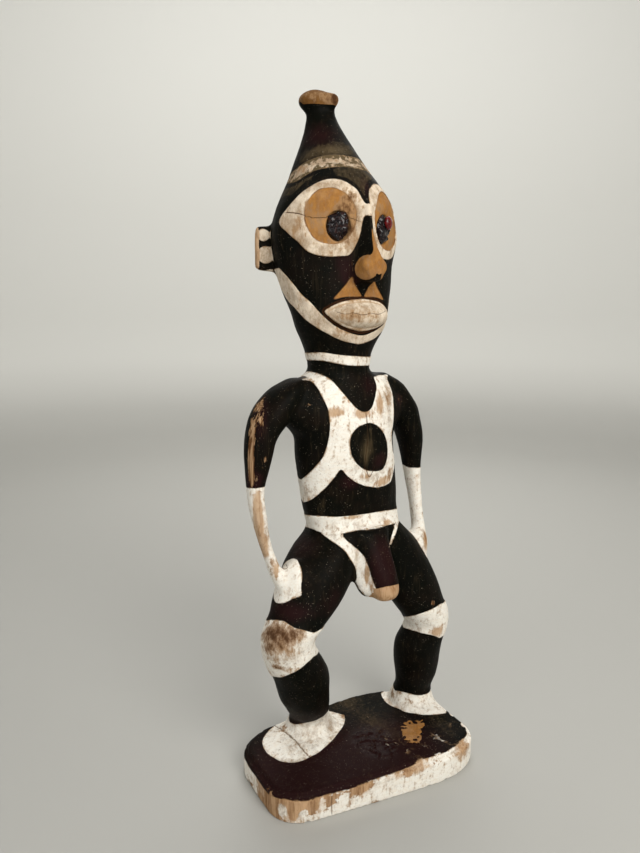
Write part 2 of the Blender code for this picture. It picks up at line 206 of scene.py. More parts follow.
# Middle of each arm by level, and of the flat hands, with their reaches
RIGHT_ARM_LINE = [(0.458, -0.1285, 0.033), (0.415, -0.138, 0.030), (0.384, -0.140, 0.026),
                  (0.342, -0.135, 0.022), (0.307, -0.1255, 0.018), (0.278, -0.112, 0.013),
                  (0.261, -0.103, 0.010)]
LEFT_ARM_LINE = [(0.464, 0.095, 0.042), (0.429, 0.1045, 0.039), (0.383, 0.1085, 0.036),
                 (0.332, 0.112, 0.029), (0.303, 0.114, 0.025), (0.268, 0.113, 0.019)]
RIGHT_HAND = ((-0.097, 0.007, 0.274), (0.021, 0.025, 0.033))
LEFT_HAND = ((0.107, 0.019, 0.285), (0.0165, 0.020, 0.028))
ARM_LEVELS = (0.275, 0.315, 0.380)
ARM_REACHES = (0.0120, 0.0145, 0.0195)
HAND_INNER_SIDE = -0.101
# White round patch where the right hand meets the thigh: middle and radii
THIGH_PATCH = ((-0.118, 0.012, 0.2845), (0.031, 0.031, 0.031))

# Ochre on the nose: half width of the ridge's stripe by level, its tip and its wings
RIDGE_LEVELS = (0.640, 0.664, 0.672, 0.680, 0.690, 0.7009, 0.704)
RIDGE_WIDTHS = (0.0085, 0.0085, 0.0052, 0.0032, 0.0018, 0.0006, -0.0010)
NOSE_TIP = (0.0400, 0.6610, 0.0130)
NOSE_WING = ((0.0100, 0.0340, 0.6575), (0.0135, 0.0165, 0.0140))

# Cracks and incised lines: places, half width and depth
CRACKS = [
    ([(287, 212.5), (299, 213.8), (311, 217.3), (327, 217.2)], 0.6 * MM, 0.7 * MM),
    ([(349, 217.5), (354, 219), (358, 221)], 0.5 * MM, 0.5 * MM),
    (MOUTH_LINE, 0.45 * MM, 0.6 * MM),
    (TOE_LINE, 0.9 * MM, 1.6 * MM),
    ([(366.5, 352), (367, 362), (366, 372), (367.5, 392)], 0.35 * MM, 0.5 * MM),
    ([(366.5, 413), (367.3, 424), (367.6, 440), (366, 452), (364.5, 468)], 0.5 * MM, 0.7 * MM),
    ([(366, 469), (369.5, 477), (373.5, 469)], 0.5 * MM, 0.6 * MM),
    ([(332.3, 794), (331.8, 802), (332.4, 815)], 0.5 * MM, 0.9 * MM),
    ([(273, 500), (275, 512), (274, 528)], 0.3 * MM, 0.3 * MM),
    ([(281, 566), (284, 569.5), (287, 568), (286, 565)], 0.6 * MM, 0.5 * MM),
    ([(350, 640), (352, 668), (349, 690)], 0.3 * MM, 0.4 * MM),
]

# Scratches through the black, each from place to place
SCRATCHES = [
    [(262, 453), (268, 449)], [(263, 459), (269, 453)], [(261, 464), (266, 471)],
    [(267, 456), (262, 473)], [(256, 430), (259, 447)], [(261, 426), (262, 440)],
    [(254, 404), (266, 402)], [(257, 409), (269, 407)], [(262, 414), (271, 411)],
    [(251, 418), (257, 412)], [(346, 485), (356, 487)], [(352, 489), (354, 497)],
    [(340, 480), (343, 486)], [(376, 488), (388, 489)], [(383, 484), (386, 493)],
    [(308, 402), (313, 408)], [(305, 406), (309, 403)], [(397, 398), (402, 402)],
    [(400, 395), (404, 399)], [(371, 440), (374, 449)], [(361, 438), (364, 452)],
    [(378, 446), (374, 456)], [(357, 448), (362, 456)], [(362, 548), (366, 556)],
    [(372, 557), (380, 553)], [(318, 395), (321, 400)], [(392, 640), (394, 652)],
    [(300, 700), (306, 706)], [(335, 486), (341, 490)],
    [(365, 715), (378, 724), (391, 736), (399, 745)], [(372, 722), (388, 727)],
    [(384, 738), (396, 741)], [(350, 716), (357, 719)], [(290, 245), (291, 262)],
    [(352, 262), (353, 272)],
]

# Soft spots: places where the paint has gone, is thin, stained and so on. Each is a pixel's two
# numbers, its reaches across and along the figure in millimetres, and a strength; a negative one
# keeps the paint there.
WORN = [
    (251.5, 440, 5, 34, 1), (250.5, 466, 4, 20, 1), (259, 405, 11, 11, 0.8), (261, 424, 8, 16, 0.75),
    (264, 460, 7, 14, 0.65), (255, 480, 12, 8, 0.45), (270, 803, 34, 24, 1.25),
    (310, 806, 36, 14, 1.15), (342, 799, 18, 10, 0.6), (361, 789, 12, 8, 1), (250, 785, 16, 28, 0.55),
    (372, 785, 10, 6, 0.5), (407, 773, 14, 8, 0.75), (440, 757, 12, 8, 0.5), (463, 748, 14, 14, 0.65),
    (426, 538, 4, 10, 0.9), (433, 603, 6, 6, 0.7), (399, 400, 6, 6, 0.7), (308, 404, 5, 3, 0.75),
    (388, 398, 4, 6, 0.5), (395, 707, 6, 3, 0.7), (437, 632, 8, 8, 0.45), (352, 486, 9, 5, 0.5),
    (382, 488, 8, 4, 0.5), (365, 187, 4, 6, 0.4), (414, 731, 12, 16, 1.2), (452, 722, 10, 6, 0.95),
    (300, 404, 3, 3, 0.6), (256, 265, 6, 8, 0.6), (436, 762, 6, 4, 0.5), (282, 810, 6, 8, -2),
    (304, 815, 5, 6, -2), (344, 799, 5, 5, -1.2), (322, 803, 4, 6, -1.2), (262, 790, 6, 6, -1),
]
THIN = [
    (337, 412, 12, 6, 0.8), (363, 413, 14, 7, 1), (380, 404, 6, 20, 0.75), (349, 396, 7, 12, 0.55),
    (383, 482, 16, 8, 0.9), (366, 476, 12, 6, 0.6), (334, 482, 10, 8, 0.55), (309, 500, 10, 8, 0.5),
    (352, 517.5, 20, 3, 0.6), (387, 523, 7, 4, 0.9), (257, 510, 5, 26, 0.9), (259, 530, 6, 30, 1.1),
    (264, 548, 6, 16, 1), (276, 570, 4, 16, 0.7), (367, 573, 3, 15, 1), (372, 588, 3, 8, 0.7),
    (437, 631, 12, 10, 0.8), (426, 540, 6, 16, 0.8), (417, 480, 3, 18, 0.4), (268, 800, 40, 26, 0.8),
    (300, 806, 50, 20, 0.6), (361, 789, 14, 10, 0.9), (400, 768, 30, 14, 0.5), (462, 748, 20, 18, 0.7),
    (420, 764, 20, 10, 0.5), (310, 384, 8, 6, 0.5), (330, 425, 6, 20, 0.35), (392, 425, 4, 30, 0.4),
    (294, 670, 12, 6, 0.4), (270, 672, 6, 8, 0.6), (324, 713, 10, 8, 0.3), (283, 728, 12, 6, 0.35),
    (347, 204, 6, 12, 0.4), (297, 228, 10, 16, 0.5), (350, 300, 20, 3, 0.6), (350, 330, 24, 4, 0.7),
    (300, 296, 6, 20, 0.35), (331, 336, 16, 5, 0.4), (302, 170, 14, 10, 0.5), (282, 810, 6, 8, -1.5),
    (304, 815, 5, 6, -1.5), (344, 799, 5, 5, -1),
]
STAINED = [
    (277, 632, 18, 11, 1), (268, 646, 10, 18, 0.9), (294, 634, 14, 8, 0.9), (284, 648, 14, 12, 0.6),
    (276, 667, 4, 3, 1.4), (283, 668, 12, 4, 0.5), (350, 199, 9, 11, 1), (343, 211, 14, 8, 0.8),
    (318, 224, 12, 10, 0.5), (352, 228, 6, 16, 0.9), (342, 240, 14, 6, 0.7), (311, 204, 6, 16, 0.35),
    (392, 207, 10, 12, 0.9), (379, 207, 10, 6, 0.8), (376, 240, 6, 10, 0.7), (391, 240, 6, 12, 0.5),
    (349, 804, 2, 5, 1.4), (410, 702, 4, 2, 1.3), (342, 712, 8, 8, 0.8), (283, 727, 8, 3, 0.6),
    (388, 396, 4, 12, 0.8), (392, 386, 3, 14, 0.7), (390, 474, 3, 8, 0.9), (318, 410, 3, 3, 0.4),
    (392, 695, 6, 4, 0.8), (400, 693, 3, 2, 0.8), (372, 468, 4, 4, 0.8), (360, 316, 20, 6, 0.65),
    (345, 318, 12, 4, 0.4), (306, 95, 20, 6, 0.3), (330, 98, 10, 10, 0.5), (376, 597, 4, 6, 0.5),
    (391, 597, 12, 3, 0.4), (367, 262, 6, 6, 0.35), (390, 770, 3, 3, 0.8), (376, 803, 5, 3, 1),
    (335, 98, 6, 8, 1.1), (356, 480, 3, 2, 0.6), (266, 498, 4, 3, 0.7), (272, 562, 4, 5, 0.6),
]
DIRTY = [
    (320, 186, 40, 8, 0.65), (290, 225, 16, 22, 0.85), (300, 243, 14, 8, 0.6), (330, 250, 24, 7, 0.55),
    (356, 222, 6, 20, 0.9), (353, 246, 8, 8, 0.9), (375, 194, 8, 10, 0.55), (390, 252, 10, 8, 0.4),
    (350, 314, 34, 14, 0.75), (335, 160, 50, 10, 0.9), (296, 178, 20, 12, 1), (366, 163, 14, 6, 0.4),
    (290, 285, 14, 18, 0.4), (320, 322, 20, 10, 0.35), (350, 340, 24, 6, 0.45),
    (263, 250, 14, 22, 0.45), (388, 400, 8, 36, 0.75), (370, 480, 24, 8, 0.6), (308, 495, 12, 12, 0.6),
    (285, 650, 26, 24, 0.85), (300, 740, 34, 20, 0.4), (330, 722, 14, 14, 0.8), (400, 702, 26, 8, 0.5),
    (262, 540, 10, 30, 0.4), (350, 358, 30, 4, 0.35), (280, 805, 50, 18, 0.6), (380, 785, 40, 14, 0.35),
    (366, 575, 6, 20, 0.35), (425, 540, 8, 16, 0.5), (430, 620, 14, 14, 0.35),
]
# Spots where the black is lightened to grey brown: mostly where it is rubbed, and some, such as the narrow
# streak on the belly, painted sheen
GREYED_AND_SHEEN = [
    (330, 151, 32, 9, 0.85), (345, 146, 24, 8, 0.4), (305, 160, 14, 10, 0.45), (368, 447, 16, 24, 0.55),
    (366, 455, 3, 16, 0.5), (322, 507, 6, 14, 0.35), (345, 700, 34, 22, 0.55), (395, 735, 26, 6, 0.35),
    (372, 720, 24, 5, 0.45), (440, 722, 24, 18, 0.4), (318, 183, 30, 6, 0.3), (452, 735, 12, 12, 0.3),
    (395, 384, 4, 12, 0.3), (253, 410, 6, 16, 0.3), (366, 550, 6, 12, 0.2),
]
PLUM = [
    (300, 780, 90, 50, 1), (400, 750, 70, 60, 0.9), (385, 565, 20, 34, 1), (300, 545, 34, 16, 0.5),
    (335, 600, 16, 30, 0.4), (290, 612, 34, 12, 0.7), (318, 136, 30, 20, 0.6), (365, 185, 8, 20, 0.6),
    (250, 482, 12, 12, 0.8), (345, 265, 16, 20, 0.6), (372, 385, 22, 18, 0.5), (380, 460, 14, 12, 0.7),
    (350, 482, 16, 14, 0.7), (260, 415, 12, 34, 0.7), (399, 400, 10, 10, 0.6), (352, 280, 10, 10, 0.7),
    (255, 478, 10, 10, 0.7), (270, 610, 14, 10, 0.5),
]
KNOTTY = [
    (370, 738, 28, 20, 1), (382, 748, 24, 14, 0.9), (398, 722, 18, 12, 0.4),
]


def smoothed(value, low, high):
    """0 below low, 1 above high, and an easy slope between."""
    t = np.clip((value - low) / (high - low), 0.0, 1.0)
    return t * t * (3.0 - 2.0 * t)


def curve_through(places, closed, steps=5):
    """Points of a smooth curve through the given places."""
    points = np.asarray(places, float)
    count = len(points)
    spans = count if closed else count - 1
    out = []
    for i in range(spans):
        if closed:
            a, b, c, d = (points[(i + k) % count] for k in (-1, 0, 1, 2))
        else:
            a, b, c, d = (points[min(max(i + k, 0), count - 1)] for k in (-1, 0, 1, 2))
        for k in range(steps):
            t = k / steps
            out.append(0.5 * (2 * b + (c - a) * t + (2 * a - 5 * b + 4 * c - d) * t ** 2
                              + (3 * b - a - 3 * c + d) * t ** 3))
    if not closed:
        out.append(points[-1])
    return np.array(out)


def signed_distance(points, loop):
    """How far each flat point is inside a closed outline; negative outside."""
    x, y = points[:, 0], points[:, 1]
    nearest = np.full(len(points), np.inf)
    inside = np.zeros(len(points), bool)
    for (ax, ay), (bx, by) in zip(loop, np.roll(loop, -1, axis=0)):
        dx, dy = bx - ax, by - ay
        length2 = dx * dx + dy * dy
        if length2 < 1e-14:
            continue
        t = np.clip(((x - ax) * dx + (y - ay) * dy) / length2, 0.0, 1.0)
        nearest = np.minimum(nearest, (x - ax - t * dx) ** 2 + (y - ay - t * dy) ** 2)
        if abs(dy) > 1e-12:
            crosses = (ay > y) != (by > y)
            inside ^= crosses & (x < ax + (y - ay) * dx / dy)
    return np.where(inside, 1.0, -1.0) * np.sqrt(nearest)


class Skin:
    """The carving's surface, which outlines are dropped on along the photograph's lines of sight."""

    def __init__(self, mesh):
        verts = [v.co.copy() for v in mesh.vertices]
        self.tree = BVHTree.FromPolygons(verts, [tuple(p.vertices) for p in mesh.polygons])

    def hit(self, pixel):
        """Where the line of sight through a pixel meets the surface, or the place nearest to it."""
        across = (pixel[0] - PHOTO_SIZE[0] / 2) / PHOTO_FOCUS
        down = (pixel[1] - PHOTO_SIZE[1] / 2) / PHOTO_FOCUS
        sight = (AHEAD + RIGHTWARD * across + DOWNWARD * down).normalized()
        place = self.tree.ray_cast(CAMERA_PLACE, sight)[0]
        if place is None:
            tries = [self.tree.find_nearest(CAMERA_PLACE + sight * reach) for reach in SIGHT_REACHES]
            place = min(tries, key=lambda found: found[3])[0]
        return place

    def drop(self, pixels):
        """The places that a row of pixels shows."""
        return np.array([self.hit(pixel) for pixel in pixels])


def angle_round(points, axis):
    """Angle round an upright axis: 0 in front, positive towards the figure's left."""
    return np.arctan2(points[:, 0] - axis[0], -(points[:, 1] - axis[1]))


def wrapped(points, axis, radius):
    """Points laid flat round an upright axis: distance round towards the figure's left, and height."""
    return np.column_stack([angle_round(points, axis) * radius, points[:, 2]])


def folded(angle):
    """Angles behind the figure turned to the ones before them."""
    return np.where(np.abs(angle) > math.pi / 2, np.sign(angle) * math.pi - angle, angle)


class Edge:
    """A painted edge that runs round an axis, as levels by angle."""

    def __init__(self, places, axis, mirror=False, hidden=()):
        at = angle_round(places, axis)
        level = places[:, 2]
        if mirror:
            at = -at
        for degrees, height in hidden:
            at = np.append(at, math.radians(degrees))
            level = np.append(level, height)
        order = np.argsort(at)
        self.at, self.level = at[order], level[order]
        self.axis, self.mirror = axis, mirror

    def under(self, points, fold=False):
        """The edge's level at each point's own angle."""
        angle = angle_round(points, self.axis)
        if self.mirror:
            angle = np.abs(angle)
        if fold:
            angle = folded(angle)
        period = None if self.mirror or fold else 2 * math.pi
        return np.interp(angle, self.at, self.level, period=period)


class Chart:
    """Painted shapes as distances, at every point of a mesh."""

    def __init__(self, skin, points, normals):
        self.skin = skin
        self.points = points
        self.normals = normals
        self.x, self.y, self.z = points.T

    def keep(self, zone, value):
        """A shape's distances inside its zone, and well outside it elsewhere."""
        return np.where(zone, value, -FAR)

    def patch(self, pixels, axis, radius, zone, mirror=True, outward=0.0):
        """A closed outline wrapped round an axis.

        Mirrored ones are drawn on the figure's right and repeated on its left, there moved outward.
        """
        flat = wrapped(self.skin.drop(curve_through(pixels, True)), axis, radius)
        points = wrapped(self.points[zone], axis, radius)
        if mirror:
            flat[:, 0] *= -1.0
            points[:, 0] = np.where(points[:, 0] > 0.0, points[:, 0] - outward, -points[:, 0])
            if flat[:, 0].min() < 0.0:
                # An outline that crosses the middle is closed by its own mirror image
                flat = np.roll(flat, -int(np.argmax(flat[:, 0] < 0.0)), axis=0)
                half = flat[flat[:, 0] > 0.0]
                flat = np.vstack([half, half[::-1] * (-1.0, 1.0)])
        out = np.full(len(self.points), -FAR)
        out[zone] = signed_distance(points, flat)
        return out

    def plane_patch(self, pixels, first, second, zone, more=()):
        """A closed outline seen square on along one of the frame's own axes."""
        loop = self.skin.drop(curve_through(pixels, not more))[:, (first, second)]
        if more:
            loop = np.vstack([loop, curve_through(more, False)])
        out = np.full(len(self.points), -FAR)
        out[zone] = signed_distance(self.points[zone][:, (first, second)], loop)
        return out

    def above(self, pixels, axis, mirror=False, fold=False, hidden=()):
        """How far each point is above an edge that runs round an axis."""
        places = self.skin.drop(curve_through(pixels, False))
        return self.z - Edge(places, axis, mirror, hidden).under(self.points, fold)

    def band(self, top, foot, axis):
        """How far each point is inside a band between two edges round an axis."""
        return np.minimum(-self.above(top, axis), self.above(foot, axis))

    def lump(self, centre, radii):
        """How far inside a rounded lump each point is."""
        away = np.linalg.norm((self.points - np.array(centre)) / np.array(radii), axis=1)
        return min(radii) * (1.0 - away)

    def beside(self, line):
        """How far inside an arm's reach round its middle line each point is."""
        level, across, deep = np.array(sorted(line)).T
        return np.interp(self.z, ARM_LEVELS, ARM_REACHES) - np.hypot(
            self.x - np.interp(self.z, level, across),
            self.y - np.interp(self.z, level, deep))

    def stripe(self, pixels, widths):
        """A stripe along a line, its half width given at each place."""
        places = self.skin.drop(curve_through(pixels, False))
        wide = np.interp(np.linspace(0, 1, len(places)), np.linspace(0, 1, len(widths)), widths)
        best = np.full(len(self.points), -FAR)
        for a, b, first, last in zip(places[:-1], places[1:], wide[:-1], wide[1:]):
            run = b - a
            t = np.clip((self.points - a) @ run / max(run @ run, 1e-12), 0.0, 1.0)
            away = np.linalg.norm(self.points - a - t[:, None] * run, axis=1)
            best = np.maximum(best, first + (last - first) * t - away)
        return best

    def spots(self, places):
        """Soft spots summed."""
        total = np.zeros(len(self.points))
        for column, row, across, along, strength in places:
            off = self.points - np.array(self.skin.hit((column, row)))
            side = off @ np.array(RIGHTWARD) / (across * MM)
            rise = off[:, 2] / (along * MM)
            deep = off @ np.array(AHEAD) / max(across * MM, along * MM, LEAST_SPOT_DEPTH)
            total += strength * np.exp(-side ** 2 - rise ** 2 - deep ** 2)
        return total

    def line(self, pixels):
        """Signed distance across a line on the surface, at the points close to it."""
        places = self.skin.drop(curve_through(pixels, False) if len(pixels) > 2 else pixels)
        close = np.all((self.points > places.min(axis=0) - LINE_REACH)
                       & (self.points < places.max(axis=0) + LINE_REACH), axis=1)
        points, normals = self.points[close], self.normals[close]
        best = np.full(len(points), np.inf)
        across = np.full(len(points), FAR)
        for a, b in zip(places[:-1], places[1:]):
            run = b - a
            length2 = run @ run
            if length2 < 1e-12:
                continue
            t = (points - a) @ run / length2
            off = points - a - np.clip(t, 0.0, 1.0)[:, None] * run
            far2 = (off ** 2).sum(axis=1)
            side = (np.cross(run, normals) * off).sum(axis=1)
            nearer = far2 < best
            best = np.where(nearer, far2, best)
            across = np.where(nearer, np.sign(side) * np.sqrt(far2), across)
        signed = np.full(len(self.points), FAR)
        signed[close] = across
        return signed


def head_shapes(chart):
    """Painted shapes of the head and neck."""
    x, y, z = chart.points.T
    head = z > NECK_LEVEL + 0.02
    face = head & (z < FACE_TOP)
    off = np.abs(x - HEAD_AXIS[0])
    disc = chart.patch(EYE_DISC, HEAD_AXIS, FACE_RADIUS, face, outward=LEFT_EYE_SHIFT)
    disc = np.where(x > HEAD_AXIS[0], disc + LEFT_EYE_GROWTH, disc)
    # Ears stand out of the head, and their painted lobes are on their front faces
    ears = head & (z < EAR_TOP) & (off > EAR_INNER) & (y > EAR_FRONT)
    lobes = np.full(len(x), -FAR)
    for pixel, radius in EAR_LOBES:
        centre = chart.skin.hit(pixel)
        away = np.hypot(off - abs(centre[0] - HEAD_AXIS[0]), z - centre[2])
        lobes = np.maximum(lobes, chart.keep(ears & (y < centre[1] + 0.006), radius * LOBE_SIZE - away))
    ridge = np.interp(z, RIDGE_LEVELS, RIDGE_WIDTHS) - off
    reach, level, radius = NOSE_TIP
    tip = chart.lump((HEAD_AXIS[0], -reach, level), (radius, radius, radius))
    (out, ahead, level), radii = NOSE_WING
    wings = np.maximum(chart.lump((HEAD_AXIS[0] - out, -ahead, level), radii),
                       chart.lump((HEAD_AXIS[0] + out, -ahead, level), radii))
    notch = np.maximum(PHILTRUM_TOP - z, 0.0) * (off < PHILTRUM_WIDTH)
    nose = np.maximum.reduce([chart.keep(face & (y < RIDGE_BACK) & (z > NOSE_FOOT), ridge), tip, wings])
    turn = np.abs(angle_round(chart.points, HEAD_AXIS))
    above = {name: chart.above(pixels, HEAD_AXIS, mirror=True)
             for name, pixels in (("jaw top", JAW_TOP), ("jaw foot", JAW_FOOT),
                                  ("band top", BROW_BAND_TOP), ("band foot", BROW_BAND_FOOT),
                                  ("shade foot", BROW_SHADE_FOOT))}
    shade = np.minimum(-above["band foot"], above["shade foot"])
    shade -= TEMPLE_FADE * smoothed(turn, *TEMPLE_TURNS)
    return {
        "eye": chart.patch(EYE_RING, HEAD_AXIS, FACE_RADIUS, face),
        "disc": disc,
        "lobes": lobes,
        "ear_edge": chart.keep(ears, off - EAR_RIM),
        "nose": chart.keep(y < NOSE_BACK, nose - 3.0 * notch),
        "wings": wings,
        "mouth": chart.patch(MOUTH, HEAD_AXIS, LIPS_RADIUS, face),
        "triangle": chart.patch(LIP_TRIANGLE, HEAD_AXIS, LIPS_RADIUS, face),
        "jaw": chart.keep(face & (y < JAW_BACK), np.minimum(-above["jaw top"], above["jaw foot"])),
        "brow": chart.keep(head, np.minimum(-above["band top"], above["band foot"])),
        "brow_shade": chart.keep(head, shade),
        "neck": chart.band(NECK_RING_TOP, NECK_RING_FOOT, NECK_AXIS),
        "knob": chart.keep(z > KNOB_LEVEL, chart.above(KNOB_FOOT, KNOB_AXIS, mirror=True)),
    }


def trunk_shapes(chart):
    """The vest and its disc, the belt and the loins."""
    x, y, z = chart.points.T
    trunk = (z > HIP_LEVEL - 0.03) & (z < NECK_LEVEL + 0.03)
    between_arms = (x > RIGHT_ARM_GAP) & (x < LEFT_ARM_GAP)
    # The flanks' black ovals, the same on both sides and behind
    oval = wrapped(chart.skin.drop(curve_through(FLANK_OVAL, False)), CHEST_AXIS, CHEST_RADIUS)
    oval[:, 0] *= -1.0
    outer = CHEST_RADIUS * math.pi
    oval = np.vstack([oval, [outer, oval[-1, 1] - 0.004], [outer, oval[0, 1] + 0.03],
                      [oval[0, 0], oval[0, 1] + 0.03]])
    flat = np.column_stack([np.abs(folded(angle_round(chart.points, CHEST_AXIS))) * CHEST_RADIUS, z])
    flanks = np.full(len(x), FAR)
    flanks[trunk] = signed_distance(flat[trunk], oval)
    vest = np.minimum(-flanks, -chart.above(NECK_V, CHEST_AXIS, fold=True))
    vest = np.minimum(vest, chart.above(VEST_FOOT, CHEST_AXIS, fold=True, hidden=VEST_FOOT_HIDDEN))
    loins = (y < 0.02) & (z > 0.22) & (z < 0.36)
    groin = np.maximum(chart.plane_patch(RIGHT_GROIN, 0, 2, loins),
                       chart.keep((y < 0.04) & (z > 0.28), chart.stripe(LEFT_GROIN, LEFT_GROIN_WIDTHS)))
    tip = chart.keep((y < -0.030) & (z < 0.285) & (z > 0.22) & (x > -0.012),
                     -chart.above(TIP_EDGE, (0.006, 0.0)))
    return {
        "vest": chart.keep(trunk & between_arms, vest),
        "chest_disc": chart.patch(CHEST_DISC, CHEST_AXIS, DISC_RADIUS,
                                  trunk & (y < CHEST_AXIS[1]), mirror=False),
        "belt": chart.keep(between_arms & (z > CROTCH_LEVEL), chart.band(BELT_TOP, BELT_FOOT, BELT_AXIS)),
        "groin": groin,
        "tip": tip,
    }


def limb_shapes(chart):
    """Forearms, hands, knees, ankles and feet."""
    x, y, z = chart.points.T
    right_arm = chart.keep(x < RIGHT_ARM_GAP + 0.006, chart.beside(RIGHT_ARM_LINE))
    left_arm = chart.keep(x > LEFT_ARM_GAP, chart.beside(LEFT_ARM_LINE))
    right_hand = chart.lump(*RIGHT_HAND)
    left_hand = chart.lump(*LEFT_HAND) + 0.003
    right_arm = np.minimum(np.maximum(right_arm, right_hand), -chart.above(RIGHT_SLEEVE, RIGHT_ARM_AXIS))
    left_arm = np.minimum(np.maximum(left_arm, left_hand), -chart.above(LEFT_SLEEVE, LEFT_ARM_AXIS))
    right_arm = chart.keep((x < HAND_INNER_SIDE) & (z > 0.235) & (z < 0.5), right_arm)
    left_arm = chart.keep((x > LEFT_ARM_GAP) & (z > 0.245) & (z < 0.5), left_arm)
    thigh = (x < -0.06) & (z > 0.22) & (z < 0.33)
    patch = chart.keep(thigh, chart.lump(*THIGH_PATCH))
    right_leg = (x < LEGS_APART) & (z < CROTCH_LEVEL)
    left_leg = (x >= LEGS_APART) & (z < CROTCH_LEVEL)
    right_knee = chart.band(RIGHT_KNEE_TOP, RIGHT_KNEE_FOOT, RIGHT_KNEE_AXIS)
    left_knee = chart.band(LEFT_KNEE_TOP, LEFT_KNEE_FOOT, LEFT_KNEE_AXIS)
    knees = np.maximum(chart.keep(right_leg, right_knee), chart.keep(left_leg, left_knee))
    low = z < 0.13
    ankles = np.maximum(
        chart.keep(right_leg & low, -chart.above(RIGHT_CALF_FOOT, RIGHT_ANKLE_AXIS)),
        chart.keep(left_leg & low, -chart.above(LEFT_CALF_FOOT, LEFT_ANKLE_AXIS)))
    feet = np.maximum(chart.plane_patch(RIGHT_FOOT, 0, 1, low, RIGHT_FOOT_BACK),
                      chart.plane_patch(LEFT_FOOT, 0, 1, low, LEFT_FOOT_BACK))
    feet = chart.keep(z > PLINTH_TOP - 0.004, feet)
    ankles = np.minimum(ankles, feet)
    chips = chart.plane_patch(CHIPS, 0, 1, (z > PLINTH_TOP - 0.007) & (z < PLINTH_TOP + 0.008))
    sides = chart.keep(z < PLINTH_TOP, -chart.above(PLINTH_EDGE, PLINTH_AXIS) - 0.0006)
    return {
        "arms": np.maximum(right_arm, left_arm), "patch": patch, "knees": knees,
        "ankles": ankles, "sides": np.minimum(sides, 0.006),
        "chips": chips - 16.0 * MM * np.abs(waves(chart.points, 0.0065, 1.0, 9)) + 0.8 * MM,
    }


def paint_fields(chart, spots):
    """Every painted shape as a signed distance, positive inside, and the named soft spots."""
    shapes = {**head_shapes(chart), **trunk_shapes(chart), **limb_shapes(chart)}
    shapes["sides"] = shapes["sides"] + 0.7 * MM * waves(chart.points, 0.012, 1.0, 8)
    white = np.maximum.reduce([shapes[name] for name in WHITE_SHAPES])
    shapes["white"] = np.minimum(white, -shapes["chest_disc"])
    shapes["ochre"] = np.maximum.reduce([shapes[name] for name in OCHRE_SHAPES])
    shapes["seam"] = np.maximum(shapes["disc"], shapes["triangle"])
    for name in spots:
        shapes[name] = chart.spots(SPOTS[name])
    return shapes


def scratch_field(chart):
    """How far each point is from the nearest scratch."""
    scratch = np.full(len(chart.points), FAR)
    for pixels in SCRATCHES:
        scratch = np.minimum(scratch, np.abs(chart.line(pixels)))
    return scratch


WHITE_SHAPES = ("eye", "mouth", "lobes", "jaw", "brow", "neck", "vest", "belt", "groin", "arms", "patch",
                "knees", "ankles", "sides")
OCHRE_SHAPES = ("disc", "triangle", "nose", "tip", "knob", "chips")
SPOTS = {"worn": WORN, "thin": THIN, "stained": STAINED, "dirty": DIRTY, "greyed_and_sheen": GREYED_AND_SHEEN, "plum": PLUM,
         "knotty": KNOTTY}
# Distances and soft spots that the carving's material reads
STORED_FIELDS = ("white", "ochre", "seam", "mouth", "brow", "brow_shade", "ear_edge", "tip", "knob",
                 "scratch", *SPOTS)


def crack_fields(chart):
    """Signed distance across the nearest crack, its half width, and the groove's depth."""
    across = np.full(len(chart.points), FAR)
    half = np.zeros(len(chart.points))
    groove = np.zeros(len(chart.points))
    for pixels, width, depth in CRACKS:
        signed = chart.line(pixels)
        nearer = np.abs(signed) < np.abs(across)
        across = np.where(nearer, signed, across)
        half = np.where(nearer & (np.abs(signed) < 6 * MM), width, half)
        groove = np.maximum(groove, depth * np.exp(-(signed / (width + 0.6 * MM)) ** 2))
    return across, half, groove


def mesh_arrays(mesh):
    count = len(mesh.vertices)
    points = np.empty(count * 3, np.float32)
    mesh.vertices.foreach_get("co", points)
    normals = np.empty(count * 3, np.float32)
    mesh.vertices.foreach_get("normal", normals)
    edges = np.empty(len(mesh.edges) * 2, np.int32)
    mesh.edges.foreach_get("vertices", edges)
    return points.reshape(-1, 3).astype(float), normals.reshape(-1, 3).astype(float), edges.reshape(-1, 2)


def neighbour_mean(values, edges, count):
    """Mean of each vertex's neighbours, column by column."""
    weight = np.bincount(edges.ravel(), minlength=count).astype(float)
    out = np.zeros_like(values)
    for k in range(values.shape[1]):
        total = np.bincount(edges[:, 0], values[edges[:, 1], k], minlength=count)
        total += np.bincount(edges[:, 1], values[edges[:, 0], k], minlength=count)
        out[:, k] = total / np.maximum(weight, 1.0)
    return out


def curvature(points, normals, edges, rounds):
    """Positive on ridges and edges, negative in hollows, about -1 to 1."""
    mean = neighbour_mean(points, edges, len(points))
    bend = ((points - mean) * normals).sum(axis=1)[:, None]
    for _ in range(rounds):
        bend = 0.5 * bend + 0.5 * neighbour_mean(bend, edges, len(points))
    spread = np.percentile(np.abs(bend), 96)
    return np.clip(bend[:, 0] / spread, -1.0, 1.0)


def facets(points, cell, stretch, seed):
    """Shallow knife cuts: how far each point is from the middle of its own cut, 0 to 1."""
    shift = Vector((seed * 3.7, seed * 1.3, seed * 2.1))
    return np.array([noise.voronoi(Vector((x / cell, y / cell, z / (cell * stretch))) + shift)[0][0]
                     for x, y, z in points])


def waves(points, size, stretch, seed):
    """Smooth noise, about -1 to 1, stretched along the block's height."""
    shift = Vector((seed * 5.1, seed * 2.9, seed * 7.3))
    return np.array([noise.noise(Vector((x / size, y / size, z / (size * stretch))) + shift)
                     for x, y, z in points])


def joined_copy(node, name):
    """A copy of a node's mesh with its loose triangles joined."""
    bm = bmesh.new()
    bm.from_mesh(node.data)
    bmesh.ops.remove_doubles(bm, verts=bm.verts, dist=1e-5)
    mesh = bpy.data.meshes.new(name)
    bm.to_mesh(mesh)
    bm.free()
    return mesh


